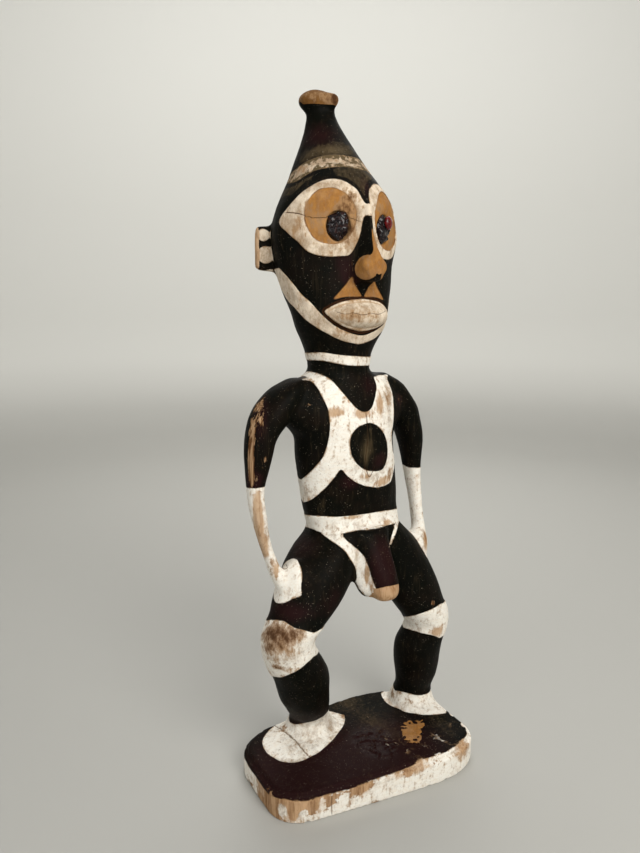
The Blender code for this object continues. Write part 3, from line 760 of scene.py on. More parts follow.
def baked(obj):
    """The object's mesh as its modifiers leave it, with the modifiers gone."""
    graph = bpy.context.evaluated_depsgraph_get()
    mesh = bpy.data.meshes.new_from_object(obj.evaluated_get(graph))
    old = obj.data
    obj.modifiers.clear()
    obj.data = mesh
    bpy.data.meshes.remove(old)
    return mesh


def new_object(name, mesh):
    obj = bpy.data.objects.new(name, mesh)
    bpy.context.scene.collection.objects.link(obj)
    return obj


def store(mesh, name, values):
    attribute = mesh.attributes.new(name, "FLOAT", "POINT")
    attribute.data.foreach_set("value", np.asarray(values, np.float32))


# Painted shapes that stand proud or lie deeper: name, share of the rim's rise, half the step's width
STEPS = (("eye", 1.0, 0.70 * MM), ("jaw", 0.7, 0.70 * MM), ("neck", 1.0, 0.70 * MM),
         ("vest", 0.35, 0.70 * MM), ("chest_disc", 0.5, 0.42 * MM), ("belt", 1.0, 0.70 * MM),
         ("knees", 1.2, 0.70 * MM), ("lobes", 1.6, 0.70 * MM), ("triangle", -0.6, 0.42 * MM),
         ("ankles", -0.6, 0.70 * MM))


def relief(fields, groove, settings):
    """How far the surface moves out along its normal, in metres."""
    rise = settings.rim_rise
    out = -groove
    for name, share, slope in STEPS:
        out += share * rise * smoothed(fields[name], -slope, slope)
    out -= (rise + settings.disc_sink) * smoothed(fields["disc"], -0.35 * MM, 0.56 * MM)
    out += 0.9 * MM * smoothed(fields["disc"], 0.0, 0.012)
    # Lips: a groove all round, a low rim and the swelling inside it
    mouth = fields["mouth"]
    out -= 1.3 * MM * np.exp(-((mouth + 1.6 * MM) / (1.4 * MM)) ** 2)
    out += 0.9 * MM * smoothed(mouth, -0.4 * MM, 1.0 * MM)
    out -= 0.6 * MM * np.exp(-((mouth - 3.4 * MM) / (0.8 * MM)) ** 2)
    out += 0.8 * MM * smoothed(mouth, 0.004, 0.012)
    # Wings of the nose are dished
    out -= 0.9 * MM * smoothed(fields["wings"], 0.0015, 0.006) * smoothed(fields["wings"], 0.009, 0.006)
    return out + 1.0 * MM * smoothed(fields["chips"], -0.3 * MM, 0.5 * MM)


def dress_body(settings):
    """The carving: a fine skin over the solid's form, with its relief and its paint's distances."""
    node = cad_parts[CARVING]
    coarse = joined_copy(node, "carving_joined")
    skin = Skin(coarse)
    obj = new_object("painted_carving", coarse)
    creases(coarse)
    rounding = obj.modifiers.new("rounded facets", "SUBSURF")
    rounding.levels = rounding.render_levels = 1
    fine = obj.modifiers.new("fine skin", "REMESH")
    fine.mode = "VOXEL"
    fine.voxel_size = settings.fineness
    fine.use_smooth_shade = True
    ease = obj.modifiers.new("eased facets", "SMOOTH")
    ease.factor = 0.5
    ease.iterations = settings.easing
    mesh = baked(obj)
    points, normals, edges = mesh_arrays(mesh)
    chart = Chart(skin, points, normals)
    fields = paint_fields(chart, ("knotty",))
    groove = crack_fields(chart)[2]
    move = relief(fields, groove, settings)
    # Long knife cuts over the figure, none on the eyes or under the plinth
    carved = (1.0 - smoothed(fields["eye"], -0.002, 0.001)) * smoothed(points[:, 2], 0.001, 0.006)
    cuts = facets(points, 0.016, 2.2, 1)
    move += carved * settings.knife_depth * (0.5 - cuts)
    move += carved * 0.35 * MM * waves(points, 0.030, 2.0, 2)
    knots = smoothed(fields["knotty"], 0.25, 0.9) * smoothed(points[:, 2], 0.030, 0.036)
    ridges = np.clip(1.0 - 5.0 * np.abs(waves(points, 0.013, 1.0, 3)), 0.0, 1.0)
    lumps = np.clip(1.0 - 4.0 * np.abs(waves(points, 0.0055, 1.0, 4)), 0.0, 1.0)
    move += knots * MM * (1.7 * ridges + 0.9 * lumps - 0.1)
    # Chips along the plinth's rims
    rim_zone = (points[:, 2] < PLINTH_TOP + 0.001)
    chips = np.clip(waves(points, 0.011, 0.8, 5) - 0.32, 0.0, 1.0) * rim_zone
    points = points + normals * move[:, None]
    bend = curvature(points, normals, edges, 3)
    points -= normals * (chips * np.clip(bend, 0.0, 1.0) * 4.0 * MM)[:, None]
    points[:, 2] = np.maximum(points[:, 2], 0.0)
    mesh.vertices.foreach_set("co", points.astype(np.float32).ravel())
    mesh.update()
    thin = obj.modifiers.new("fewer faces", "DECIMATE")
    thin.ratio = min(1.0, settings.triangles / (2.0 * len(mesh.polygons)))
    mesh = baked(obj)
    points, normals, edges = mesh_arrays(mesh)
    chart = Chart(skin, points, normals)
    fields = paint_fields(chart, SPOTS)
    fields["scratch"] = scratch_field(chart)
    across, half, _ = crack_fields(chart)
    for name in STORED_FIELDS:
        store(mesh, name, fields[name])
    store(mesh, "crack", across)
    store(mesh, "crack_half", half)
    store(mesh, "edge", curvature(points, normals, edges, 2))
    mesh.shade_smooth()
    return obj


def creases(mesh):
    """Edges sharper than 50 degrees keep their corner when the facets are rounded."""
    bm = bmesh.new()
    bm.from_mesh(mesh)
    layer = bm.edges.layers.float.new("crease_edge")
    for edge in bm.edges:
        if len(edge.link_faces) == 2 and edge.calc_face_angle(0.0) > math.radians(50):
            edge[layer] = 1.0
    bm.to_mesh(mesh)
    bm.free()


class Tree:
    """Adds nodes to one node tree and joins them."""

    def __init__(self, tree):
        self.tree = tree

    def node(self, kind, inputs=None, **properties):
        made = self.tree.nodes.new(kind)
        for name, value in properties.items():
            setattr(made, name, value)
        for key, value in (inputs or {}).items():
            self.feed(made.inputs[key], value)
        return made

    def feed(self, socket, value):
        if isinstance(value, bpy.types.NodeSocket):
            self.tree.links.new(value, socket)
        elif hasattr(value, "__len__") and len(value) == 3 and socket.type == "RGBA":
            socket.default_value = (*value, 1.0)
        else:
            socket.default_value = value

    def math(self, operation, a, b=0.0, clamp=False):
        made = self.node("ShaderNodeMath", {0: a, 1: b}, operation=operation, use_clamp=clamp)
        return made.outputs[0]

    def add(self, first, *others):
        for other in others:
            first = self.math("ADD", first, other)
        return first

    def times(self, first, *others):
        for other in others:
            first = self.math("MULTIPLY", first, other)
        return first

    def less(self, value):
        return self.math("SUBTRACT", 1.0, value)

    def step(self, value, low, high):
        """0 below low, 1 above high, smooth between."""
        made = self.node("ShaderNodeMapRange", {"Value": value, "From Min": low, "From Max": high},
                         interpolation_type="SMOOTHSTEP")
        return made.outputs["Result"]

    def blend(self, factor, first, second, how="MIX"):
        made = self.node("ShaderNodeMix", data_type="RGBA", blend_type=how)
        self.feed(made.inputs["Factor"], factor)
        self.feed(made.inputs[6], first)
        self.feed(made.inputs[7], second)
        return made.outputs[2]

    def place(self, stretch=(1.0, 1.0, 1.0)):
        """Object coordinates, scaled so that a pattern stretches along the block."""
        where = self.node("ShaderNodeTexCoord").outputs["Object"]
        return self.node("ShaderNodeMapping", {"Vector": where, "Scale": stretch}).outputs["Vector"]

    def noise(self, vector, scale, detail=2.0, roughness=0.5):
        made = self.node("ShaderNodeTexNoise", {"Vector": vector, "Scale": scale, "Detail": detail,
                                                "Roughness": roughness})
        return made.outputs["Fac"]

    def field(self, name):
        return self.node("ShaderNodeAttribute", attribute_name=name).outputs["Fac"]

    def group(self, group, inputs):
        made = self.node("ShaderNodeGroup", node_tree=group)
        for key, value in inputs.items():
            self.feed(made.inputs[key], value)
        return made.outputs


def new_group(name, inputs, outputs):
    """An empty shader group with named sockets, its tree helper, and its two end nodes."""
    group = bpy.data.node_groups.new(name, "ShaderNodeTree")
    for label, kind, value in inputs:
        socket = group.interface.new_socket(label, in_out="INPUT", socket_type=kind)
        socket.default_value = value
    for label, kind in outputs:
        group.interface.new_socket(label, in_out="OUTPUT", socket_type=kind)
    tree = Tree(group)
    return group, tree, tree.node("NodeGroupInput").outputs, tree.node("NodeGroupOutput").inputs


def brushed_edge_group():
    """A painted edge: a distance made a mask whose line wanders as a brush's does."""
    group, tree, given, out = new_group(
        "brushed edge",
        [("Distance", "NodeSocketFloat", 0.0), ("Wander", "NodeSocketFloat", 0.0006),
         ("Softness", "NodeSocketFloat", 0.0003)],
        [("Mask", "NodeSocketFloat")])
    slow = tree.math("SUBTRACT", tree.noise(tree.place(), 110.0, 2.0), 0.5)
    quick = tree.math("SUBTRACT", tree.noise(tree.place(), 700.0, 2.0), 0.5)
    stray = tree.math("ADD", slow, tree.math("MULTIPLY", quick, 0.45))
    stray = tree.math("MULTIPLY", stray, tree.math("MULTIPLY", given["Wander"], 3.0))
    edge = tree.math("ADD", given["Distance"], stray)
    low = tree.math("MULTIPLY", given["Softness"], -1.0)
    tree.feed(out["Mask"], tree.step(edge, low, given["Softness"]))
    return group


def wood_group():
    """Bare carved wood: its colour in long fibres, and the height of its grain."""
    group, tree, given, out = new_group(
        "carved wood",
        [("Light", "NodeSocketColor", (0.52, 0.33, 0.17, 1.0)),
         ("Dark", "NodeSocketColor", (0.2, 0.1, 0.04, 1.0))],
        [("Color", "NodeSocketColor"), ("Height", "NodeSocketFloat")])
    fibres = tree.noise(tree.place((1.0, 1.0, 0.07)), 420.0, 4.0, 0.65)
    bands = tree.noise(tree.place((1.0, 1.0, 0.16)), 90.0, 4.0, 0.6)
    tone = tree.add(tree.times(fibres, 0.5), tree.times(bands, 0.6))
    tree.feed(out["Color"], tree.blend(tree.step(tone, 0.42, 0.72), given["Light"], given["Dark"]))
    tree.feed(out["Height"], fibres)
    return group


def flaking_group():
    """Where paint has come off: more as Amount grows, in flakes and streaks that follow the grain."""
    group, tree, given, out = new_group(
        "flaking",
        [("Amount", "NodeSocketFloat", 0.0), ("Sharpness", "NodeSocketFloat", 0.03)],
        [("Mask", "NodeSocketFloat")])
    large = tree.noise(tree.place((1.0, 1.0, 0.5)), 62.0, 5.0, 0.65)
    upright = tree.noise(tree.place((1.0, 1.0, 0.16)), 380.0, 4.0, 0.65)
    level = tree.noise(tree.place((0.5, 0.5, 1.0)), 300.0, 4.0, 0.65)
    height = tree.node("ShaderNodeSeparateXYZ", {"Vector": tree.place()}).outputs["Z"]
    on_figure = tree.step(height, PLINTH_TOP - 0.003, PLINTH_TOP + 0.003)
    small = tree.add(tree.times(upright, on_figure), tree.times(level, tree.less(on_figure)))
    pattern = tree.add(tree.times(large, 0.55), tree.times(small, 0.45),
                       tree.times(given["Amount"], 0.40))
    tree.feed(out["Mask"], tree.step(pattern, 0.72, tree.add(given["Sharpness"], 0.72)))
    return group


def grime_group():
    """Dirt that follows an amount, breaks up in clouds, and gathers in hollows and fine cracks."""
    group, tree, given, out = new_group(
        "grime",
        [("Amount", "NodeSocketFloat", 0.0), ("Hollow", "NodeSocketFloat", 0.0),
         ("Scale", "NodeSocketFloat", 1.0)],
        [("Mask", "NodeSocketFloat"), ("Cracks", "NodeSocketFloat")])
    where = tree.node("ShaderNodeVectorMath", {0: tree.place((1.0, 1.0, 0.6)), "Scale": given["Scale"]},
                      operation="SCALE").outputs["Vector"]
    clouds = tree.noise(where, 95.0, 6.0, 0.72)
    fine = tree.noise(where, 520.0, 3.0, 0.7)
    haze = tree.add(tree.times(clouds, 0.75), tree.times(fine, 0.25), tree.times(given["Amount"], 0.30),
                    tree.times(given["Hollow"], 0.25))
    tree.feed(out["Mask"], tree.step(haze, 0.52, 0.86))
    cells = tree.node("ShaderNodeTexVoronoi", {"Vector": tree.place((1.0, 1.0, 0.4)), "Scale": 300.0,
                                               "Randomness": 1.0}, feature="DISTANCE_TO_EDGE")
    lines = tree.less(tree.step(cells.outputs["Distance"], 0.0, 0.09))
    tree.feed(out["Cracks"], tree.times(lines, tree.step(clouds, 0.46, 0.62)))
    return group


def shader_of(mat):
    mat.use_nodes = True
    tree = Tree(mat.node_tree)
    return tree, mat.node_tree.nodes["Principled BSDF"]


def carving_material(paint, groups):
    """Soot black with painted sheen, chalk white, ochre and plum paint over bare wood, all of it worn."""
    mat = bpy.data.materials.new("painted wood")
    tree, shader = shader_of(mat)
    field = {name: tree.field(name) for name in STORED_FIELDS}
    edge = tree.field("edge")
    ridges = tree.math("MAXIMUM", edge, 0.0)
    hollows = tree.math("MAXIMUM", tree.times(edge, -1.0), 0.0)
    height_above = tree.node("ShaderNodeSeparateXYZ", {"Vector": tree.place()}).outputs["Z"]
    on_head = tree.step(height_above, 0.540, 0.575)
    on_plinth = tree.less(tree.step(height_above, PLINTH_TOP + 0.010, PLINTH_TOP + 0.020))

    def brushed(distance, wander=0.45 * MM, softness=0.3 * MM):
        return tree.group(groups["brushed"], {"Distance": distance, "Wander": wander,
                                              "Softness": softness})["Mask"]

    def swing(pattern, amount):
        """A pattern's swing to both sides of its middle, times an amount."""
        return tree.times(tree.math("SUBTRACT", pattern, 0.5), amount)

    def flaked(amount, sharpness=0.03):
        return tree.group(groups["flaking"], {"Amount": amount, "Sharpness": sharpness})["Mask"]

    white = brushed(field["white"])
    ochre = brushed(field["ochre"], 0.35 * MM, 0.3 * MM)
    wood = tree.group(groups["wood"], {"Light": paint.wood, "Dark": paint.wood_dark})
    clouds = tree.noise(tree.place(), 30.0, 4.0, 0.6)
    mottle = tree.noise(tree.place((1.0, 1.0, 0.7)), 150.0, 5.0, 0.7)
    streaks = tree.noise(tree.place((1.0, 1.0, 0.07)), 260.0, 4.0, 0.65)
    strokes = tree.noise(tree.place((0.25, 1.0, 1.0)), 330.0, 3.0, 0.65)

    # Black paint: cool and warm by turns, plum in places, rubbed grey brown in others; grey streaks are
    # painted sheen
    soot = tree.blend(tree.step(clouds, 0.38, 0.68), paint.black, paint.black_warm)
    plum = tree.step(tree.add(field["plum"], tree.times(mottle, 0.5)), 0.35, 1.0)
    dark = tree.blend(plum, soot, paint.plum)
    # Rubbed grey brown, and painted sheen: the greyed spots and upright streaks lighten the black
    rubbed_and_sheen = tree.add(field["greyed_and_sheen"],
                      tree.times(tree.step(field["brow_shade"], -2.0 * MM, 1.5 * MM), 0.55))
    rubbed_and_sheen = tree.add(rubbed_and_sheen, swing(streaks, 0.9),
                      swing(mottle, 0.7))
    dark = tree.blend(tree.times(tree.step(rubbed_and_sheen, 0.15, 1.15), 0.8), dark, paint.grey)
    # Painted sheen: long upright streaks of the black lightened towards grey brown
    dark = tree.blend(tree.times(tree.step(streaks, 0.52, 0.78), 0.16), dark, paint.grey)
    worn_black = flaked(tree.add(tree.times(field["worn"], 0.92), tree.times(ridges, 0.13),
                                 tree.times(field["knotty"], -0.7), tree.times(on_plinth, -0.5)), 0.05)
    scuffs = tree.blend(tree.step(streaks, 0.42, 0.6), wood["Color"], paint.stain)
    dark = tree.blend(worn_black, dark, scuffs)
    scratch = tree.add(field["scratch"], swing(mottle, 1.6 * MM))
    scratch = tree.times(tree.less(tree.step(scratch, 0.15 * MM, 0.55 * MM)), 0.55)
    dark = tree.blend(scratch, dark, scuffs)
    specks = tree.step(tree.noise(tree.place(), 900.0, 1.0, 0.4), 0.745, 0.775)
    dark = tree.blend(tree.times(specks, 0.45), dark, paint.white_warm)

    # White paint, thin and tan in places, grimy in others, chipped to the wood in a few
    chalk = tree.blend(tree.times(tree.step(strokes, 0.35, 0.75), 0.4), paint.white, paint.white_warm)
    aged = tree.times(on_head, tree.add(0.45, tree.times(mottle, 0.6)))
    chalk = tree.blend(aged, chalk, paint.white_warm)
    thin = tree.add(field["thin"], swing(mottle, 1.1),
                    swing(streaks, 0.5), tree.times(ridges, 0.10))
    tan = tree.blend(tree.step(streaks, 0.4, 0.65), paint.thin, wood["Color"])
    chalk = tree.blend(tree.times(tree.step(thin, 0.20, 0.66), 0.92), chalk, tan)
    dirt = tree.add(field["dirty"], tree.times(on_head, 0.28))
    grime = tree.group(groups["grime"], {"Amount": dirt, "Hollow": hollows, "Scale": 1.0})
    chalk = tree.blend(tree.times(grime["Mask"], 0.72), chalk, paint.grime)
    cracks = tree.times(grime["Cracks"], tree.add(0.12, tree.times(field["dirty"], 0.45)))
    chalk = tree.blend(cracks, chalk, paint.stain)
    worn_white = flaked(tree.add(tree.times(field["worn"], 0.95), tree.times(ridges, 0.10)))
    chalk = tree.blend(tree.times(worn_white, 0.95), chalk, wood["Color"])
    pits = tree.times(tree.step(tree.noise(tree.place(), 620.0, 1.0, 0.4), 0.72, 0.75), 0.6)
    chalk = tree.blend(pits, chalk, paint.stain)

    # Ochre, brushed on unevenly, with the grain showing through
    clay = tree.blend(tree.step(mottle, 0.38, 0.62), paint.ochre, paint.ochre_dark)
    clay = tree.blend(tree.times(tree.step(clouds, 0.45, 0.65), 0.18), clay, paint.thin)
    clay = tree.blend(tree.times(tree.step(streaks, 0.45, 0.75), 0.45), clay, paint.wood_dark)
    pale = tree.times(tree.step(field["tip"], -1.0 * MM, 1.0 * MM), 0.75)
    clay = tree.blend(pale, clay, tan)
    aged = tree.times(tree.step(field["knob"], -1.0 * MM, 1.0 * MM),
                      tree.add(0.40, tree.times(mottle, 0.45)))
    clay = tree.blend(aged, clay, paint.outline)
    colour = tree.blend(white, dark, chalk)
    colour = tree.blend(ochre, colour, clay)

    # Painted edges are rubbed to the wood here and there
    rim = tree.less(tree.step(tree.math("ABSOLUTE", tree.math("SUBTRACT", field["white"], 0.3 * MM)),
                              0.2 * MM, 1.1 * MM))
    rim = tree.times(rim, tree.step(mottle, 0.44, 0.58), 0.7)
    colour = tree.blend(rim, colour, paint.edge)

    # The brow's band is patchy, and lets the black through
    band = tree.step(tree.add(field["brow"], tree.times(tree.math("SUBTRACT", mottle, 0.57), 46.0 * MM),
                              swing(strokes, 14.0 * MM),
                              tree.times(field["greyed_and_sheen"], -3.0 * MM)), -1.5 * MM, 4.0 * MM)
    bare = tree.times(tree.step(field["brow"], -0.6 * MM, 0.2 * MM), tree.less(band))
    colour = tree.blend(bare, colour, paint.grey)

    # Brown groove round the lips, and a tan rim inside it
    lips = field["mouth"]
    groove = tree.times(brushed(tree.add(lips, 3.0 * MM)), tree.less(brushed(tree.add(lips, -0.1 * MM))))
    colour = tree.blend(groove, colour, paint.outline)
    ring = tree.times(tree.step(lips, 2.2 * MM, 3.0 * MM), tree.less(tree.step(lips, 3.6 * MM, 4.6 * MM)))
    colour = tree.blend(tree.times(ring, tree.step(mottle, 0.3, 0.6), 0.75), colour, paint.thin)
    seam = tree.less(tree.step(tree.math("ABSOLUTE", field["seam"]), 0.2 * MM, 0.9 * MM))
    colour = tree.blend(tree.times(seam, tree.step(clouds, 0.35, 0.6), 0.8), colour, paint.stain)

    # Tan edge of the ears
    colour = tree.blend(brushed(field["ear_edge"]), colour, tan)

    # Brown stains, then cracks
    stain = tree.add(field["stained"], swing(mottle, 2.8),
                     swing(streaks, 1.1))
    painted = tree.math("MAXIMUM", white, ochre)
    for low, high, strength, tint in ((0.05, 0.65, 0.8, paint.edge), (0.45, 1.20, 0.85, paint.stain),
                                      (0.90, 1.60, 0.7, paint.outline)):
        colour = tree.blend(tree.times(tree.step(stain, low, high), painted, strength), colour, tint)
    half = tree.field("crack_half")
    across = tree.math("ABSOLUTE", tree.field("crack"))
    across = tree.add(across, swing(mottle, 0.5 * MM))
    crack = tree.less(tree.step(across, tree.times(half, 0.4), tree.times(half, 1.1)))
    crack = tree.times(crack, tree.step(half, 0.1 * MM, 0.3 * MM))
    colour = tree.blend(tree.times(crack, 0.9), colour, paint.outline)
    tree.feed(shader.inputs["Base Color"], colour)

    # Gloss: the black shines a little with dull streaks, the chalk is dull, the knots are wet
    gloss = tree.add(0.40, tree.times(streaks, 0.24), tree.times(worn_black, 0.25))
    gloss = tree.math("SUBTRACT", gloss, tree.times(tree.step(field["knotty"], 0.2, 0.8), 0.30))
    dull = tree.add(tree.times(white, 0.28), tree.times(ochre, 0.14))
    tree.feed(shader.inputs["Roughness"], tree.math("ADD", gloss, dull, clamp=True))
    shader.inputs["Specular IOR Level"].default_value = 0.035

    # Height: grain, brush marks, and the paint's own thickness
    height = tree.add(tree.times(wood["Height"], 0.10), tree.times(streaks, 0.12),
                      tree.times(strokes, white, 0.10), tree.times(white, 0.25), tree.times(mottle, 0.10))
    for mask, depth in ((worn_white, 0.25), (worn_black, 0.12), (scratch, 0.20), (crack, 0.5),
                        (pits, 0.2)):
        height = tree.math("SUBTRACT", height, tree.times(mask, depth))
    bump = tree.node("ShaderNodeBump", {"Strength": 0.9, "Distance": 1.0 * MM, "Height": height})
    tree.feed(shader.inputs["Normal"], bump.outputs["Normal"])
    return mat


def resin_material(paint, groups):
    """Dark plant resin, shiny on its lumps, with dust in patches."""
    mat = bpy.data.materials.new("dark resin")
    tree, shader = shader_of(mat)
    lumps = tree.noise(tree.place(), 220.0, 3.0, 0.6)
    grime = tree.group(groups["grime"], {"Amount": 0.0, "Hollow": 0.0, "Scale": 3.0})
    colour = tree.blend(tree.step(lumps, 0.45, 0.68), paint.resin, paint.resin_brown)
    colour = tree.blend(tree.times(grime["Mask"], 0.16), colour, paint.grime)
    tree.feed(shader.inputs["Base Color"], colour)
    tree.feed(shader.inputs["Roughness"], tree.add(0.20, tree.times(grime["Mask"], 0.5)))
    bump = tree.node("ShaderNodeBump", {"Strength": 0.5, "Distance": 0.5 * MM, "Height": lumps})
    tree.feed(shader.inputs["Normal"], bump.outputs["Normal"])
    shader.inputs["Specular IOR Level"].default_value = 0.28
    return mat


def seed_material(paint, groups):
    """A red seed's shell, darker and dusty in places."""
    mat = bpy.data.materials.new("red seed shell")
    tree, shader = shader_of(mat)
    mottle = tree.noise(tree.place(), 260.0, 4.0, 0.65)
    grime = tree.group(groups["grime"], {"Amount": 0.2, "Hollow": 0.0, "Scale": 2.0})
    colour = tree.blend(tree.step(mottle, 0.38, 0.62), paint.seed, paint.seed_dark)
    colour = tree.blend(tree.times(grime["Mask"], 0.30), colour, paint.resin_brown)
    tree.feed(shader.inputs["Base Color"], colour)
    tree.feed(shader.inputs["Roughness"], tree.add(0.20, tree.times(grime["Mask"], 0.35)))
    shader.inputs["Specular IOR Level"].default_value = 0.4
    return mat


def lumpy_inlay(name, node_name, settings, seed):
    """An inlay's solid as a lumpy skin of fine triangles."""
    mesh = joined_copy(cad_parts[node_name], name)
    obj = new_object(name, mesh)
    fine = obj.modifiers.new("fine skin", "REMESH")
    fine.mode = "VOXEL"
    fine.voxel_size = settings.resin_fineness
    fine.use_smooth_shade = True
    mesh = baked(obj)
    points, normals, _ = mesh_arrays(mesh)
    lumps = waves(points, 0.011, 1.0, seed) + 0.5 * waves(points, 0.0045, 1.0, seed + 1)
    move = settings.resin_lumps * (1.1 * lumps - 0.35)
    points += normals * move[:, None]
    mesh.vertices.foreach_set("co", points.astype(np.float32).ravel())
    mesh.shade_smooth()
    return obj


def crumb_tree(name, crumb_material):
    """Geometry nodes that set small crumbs on a surface and keep the surface."""
    group = bpy.data.node_groups.new(name, "GeometryNodeTree")
    group.interface.new_socket("Geometry", in_out="INPUT", socket_type="NodeSocketGeometry")
    for label, kind, value in (("Spacing", "NodeSocketFloat", 0.0055),
                               ("Density", "NodeSocketFloat", 25000.0),
                               ("Crumb size", "NodeSocketFloat", 0.0012),
                               ("Seed", "NodeSocketInt", 1)):
        group.interface.new_socket(label, in_out="INPUT", socket_type=kind).default_value = value
    group.interface.new_socket("Geometry", in_out="OUTPUT", socket_type="NodeSocketGeometry")
    tree = Tree(group)
    given = tree.node("NodeGroupInput").outputs
    scatter = tree.node("GeometryNodeDistributePointsOnFaces", distribute_method="POISSON")
    tree.feed(scatter.inputs["Mesh"], given["Geometry"])
    tree.feed(scatter.inputs["Distance Min"], given["Spacing"])
    tree.feed(scatter.inputs["Density Max"], given["Density"])
    tree.feed(scatter.inputs["Seed"], given["Seed"])
    crumb = tree.node("GeometryNodeMeshIcoSphere", {"Radius": 1.0, "Subdivisions": 2})
    smooth = tree.node("GeometryNodeSetShadeSmooth", {"Geometry": crumb.outputs["Mesh"]})
    size = tree.node("FunctionNodeRandomValue", data_type="FLOAT")
    tree.feed(size.inputs[2], 0.30)
    tree.feed(size.inputs[3], 1.0)
    tree.feed(size.inputs["Seed"], given["Seed"])
    scaled = tree.math("MULTIPLY", size.outputs[1], given["Crumb size"])
    flat = tree.node("ShaderNodeCombineXYZ", {"X": scaled, "Y": tree.math("MULTIPLY", scaled, 0.8),
                                              "Z": tree.math("MULTIPLY", scaled, 0.6)})
    spread = tree.node("GeometryNodeInstanceOnPoints")
    tree.feed(spread.inputs["Points"], scatter.outputs["Points"])
    tree.feed(spread.inputs["Instance"], smooth.outputs["Geometry"])
    tree.feed(spread.inputs["Rotation"], scatter.outputs["Rotation"])
    tree.feed(spread.inputs["Scale"], flat.outputs["Vector"])
    real = tree.node("GeometryNodeRealizeInstances", {"Geometry": spread.outputs["Instances"]})
    dressed = tree.node("GeometryNodeSetMaterial", {"Geometry": real.outputs["Geometry"]})
    dressed.inputs["Material"].default_value = crumb_material
    both = tree.node("GeometryNodeJoinGeometry")
    tree.feed(both.inputs["Geometry"], dressed.outputs["Geometry"])
    tree.tree.links.new(given["Geometry"], both.inputs["Geometry"])
    end = tree.node("NodeGroupOutput")
    tree.feed(end.inputs["Geometry"], both.outputs["Geometry"])
    return group


def set_input(modifier, label, value):
    """Sets a geometry nodes input by its socket's identifier."""
    for item in modifier.node_group.interface.items_tree:
        if item.item_type == "SOCKET" and item.in_out == "INPUT" and item.name == label:
            modifier[item.identifier] = value


def make_resin(name, node_name, settings, mat, seed):
    obj = lumpy_inlay(name, node_name, settings, seed)
    obj.data.materials.append(mat)
    crumbs = obj.modifiers.new("crumbs", "NODES")
    crumbs.node_group = crumb_tree(name + " crumbs", mat)
    set_input(crumbs, "Seed", seed)
    set_input(crumbs, "Crumb size", settings.crumb_size)
    baked(obj)
    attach(obj, BODY)
    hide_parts(node_name)
    return obj


class FigurePaint(bpy.types.PropertyGroup):
    """Colours of the paints, the wood and the inlays."""

    def colour(label, about, value):
        return FloatVectorProperty(name=label, description=about, subtype="COLOR", size=3, min=0.0,
                                   max=1.0, default=value)

    black: colour("Black", "Soot black where it is cool", (0.0028, 0.0031, 0.0020))
    black_warm: colour("Warm black", "Soot black where it is brown", (0.0062, 0.0042, 0.0026))
    plum: colour("Plum", "Aubergine paint on the plinth and loins", (0.0155, 0.0052, 0.0050))
    # Also the colour of the painted sheen on the black
    grey: colour("Worn black", "Black rubbed to grey brown", (0.105, 0.074, 0.038))
    white: colour("White", "Chalk white", (0.84, 0.81, 0.74))
    white_warm: colour("Warm white", "Chalk white where it is old", (0.70, 0.57, 0.42))
    thin: colour("Thin white", "White so thin that the wood tints it", (0.50, 0.34, 0.21))
    edge: colour("Rubbed edge", "Rubbed edges of the painted shapes", (0.33, 0.20, 0.10))
    ochre: colour("Ochre", "Yellow ochre paint", (0.36, 0.172, 0.048))
    ochre_dark: colour("Dark ochre", "Ochre where it is thick", (0.25, 0.105, 0.026))
    wood: colour("Wood", "Bare wood, its light bands", (0.50, 0.32, 0.18))
    wood_dark: colour("Dark wood", "Bare wood, its dark bands", (0.21, 0.105, 0.045))
    outline: colour("Outline", "Brown of incised lines", (0.030, 0.011, 0.004))
    stain: colour("Stain", "Brown stains in the white", (0.115, 0.050, 0.019))
    grime: colour("Grime", "Dirt in hollows and cracks", (0.27, 0.175, 0.095))
    resin: colour("Resin", "Dark resin of the eyes", (0.006, 0.004, 0.005))
    resin_brown: colour("Brown resin", "Resin where light comes through", (0.030, 0.012, 0.010))
    seed: colour("Seed", "Red seed's shell", (0.16, 0.0030, 0.0035))
    seed_dark: colour("Dark seed", "Red seed's shell in its dark places", (0.055, 0.0015, 0.0022))


class FigureCarving(bpy.types.PropertyGroup):
    """Fineness and relief of the carved surface."""

    fineness: FloatProperty(name="Fineness", description="Spacing of the skin's points before thinning",
                            default=0.0016, min=0.001, max=0.01, unit="LENGTH")
    easing: IntProperty(name="Easing", description="Rounds of smoothing over the solid's facets",
                        default=12, min=0, max=60)
    triangles: IntProperty(name="Triangles", description="Most triangles in the finished skin",
                           default=190000, min=10000, max=199000)
    rim_rise: FloatProperty(name="Rim rise", description="Height of carved rims and bands",
                            default=0.9 * MM, min=0.0, max=0.004, unit="LENGTH")
    disc_sink: FloatProperty(name="Eye sink", description="How deep the eye discs lie under their rings",
                             default=0.8 * MM, min=0.0, max=0.004, unit="LENGTH")
    knife_depth: FloatProperty(name="Knife cuts", description="Depth of the long cuts of the knife",
                               default=0.9 * MM, min=0.0, max=0.004, unit="LENGTH")


class FigureInlays(bpy.types.PropertyGroup):
    """Make of the resin eyes."""

    resin_fineness: FloatProperty(name="Fineness", description="Spacing of the resin's points",
                                  default=0.0007, min=0.0004, max=0.004, unit="LENGTH")
    resin_lumps: FloatProperty(name="Lumps", description="Height of the resin's lumps",
                               default=2.2 * MM, min=0.0, max=0.005, unit="LENGTH")
    crumb_size: FloatProperty(name="Crumbs", description="Radius of the crumbs in the resin",
                              default=2.6 * MM, min=0.0002, max=0.004, unit="LENGTH")


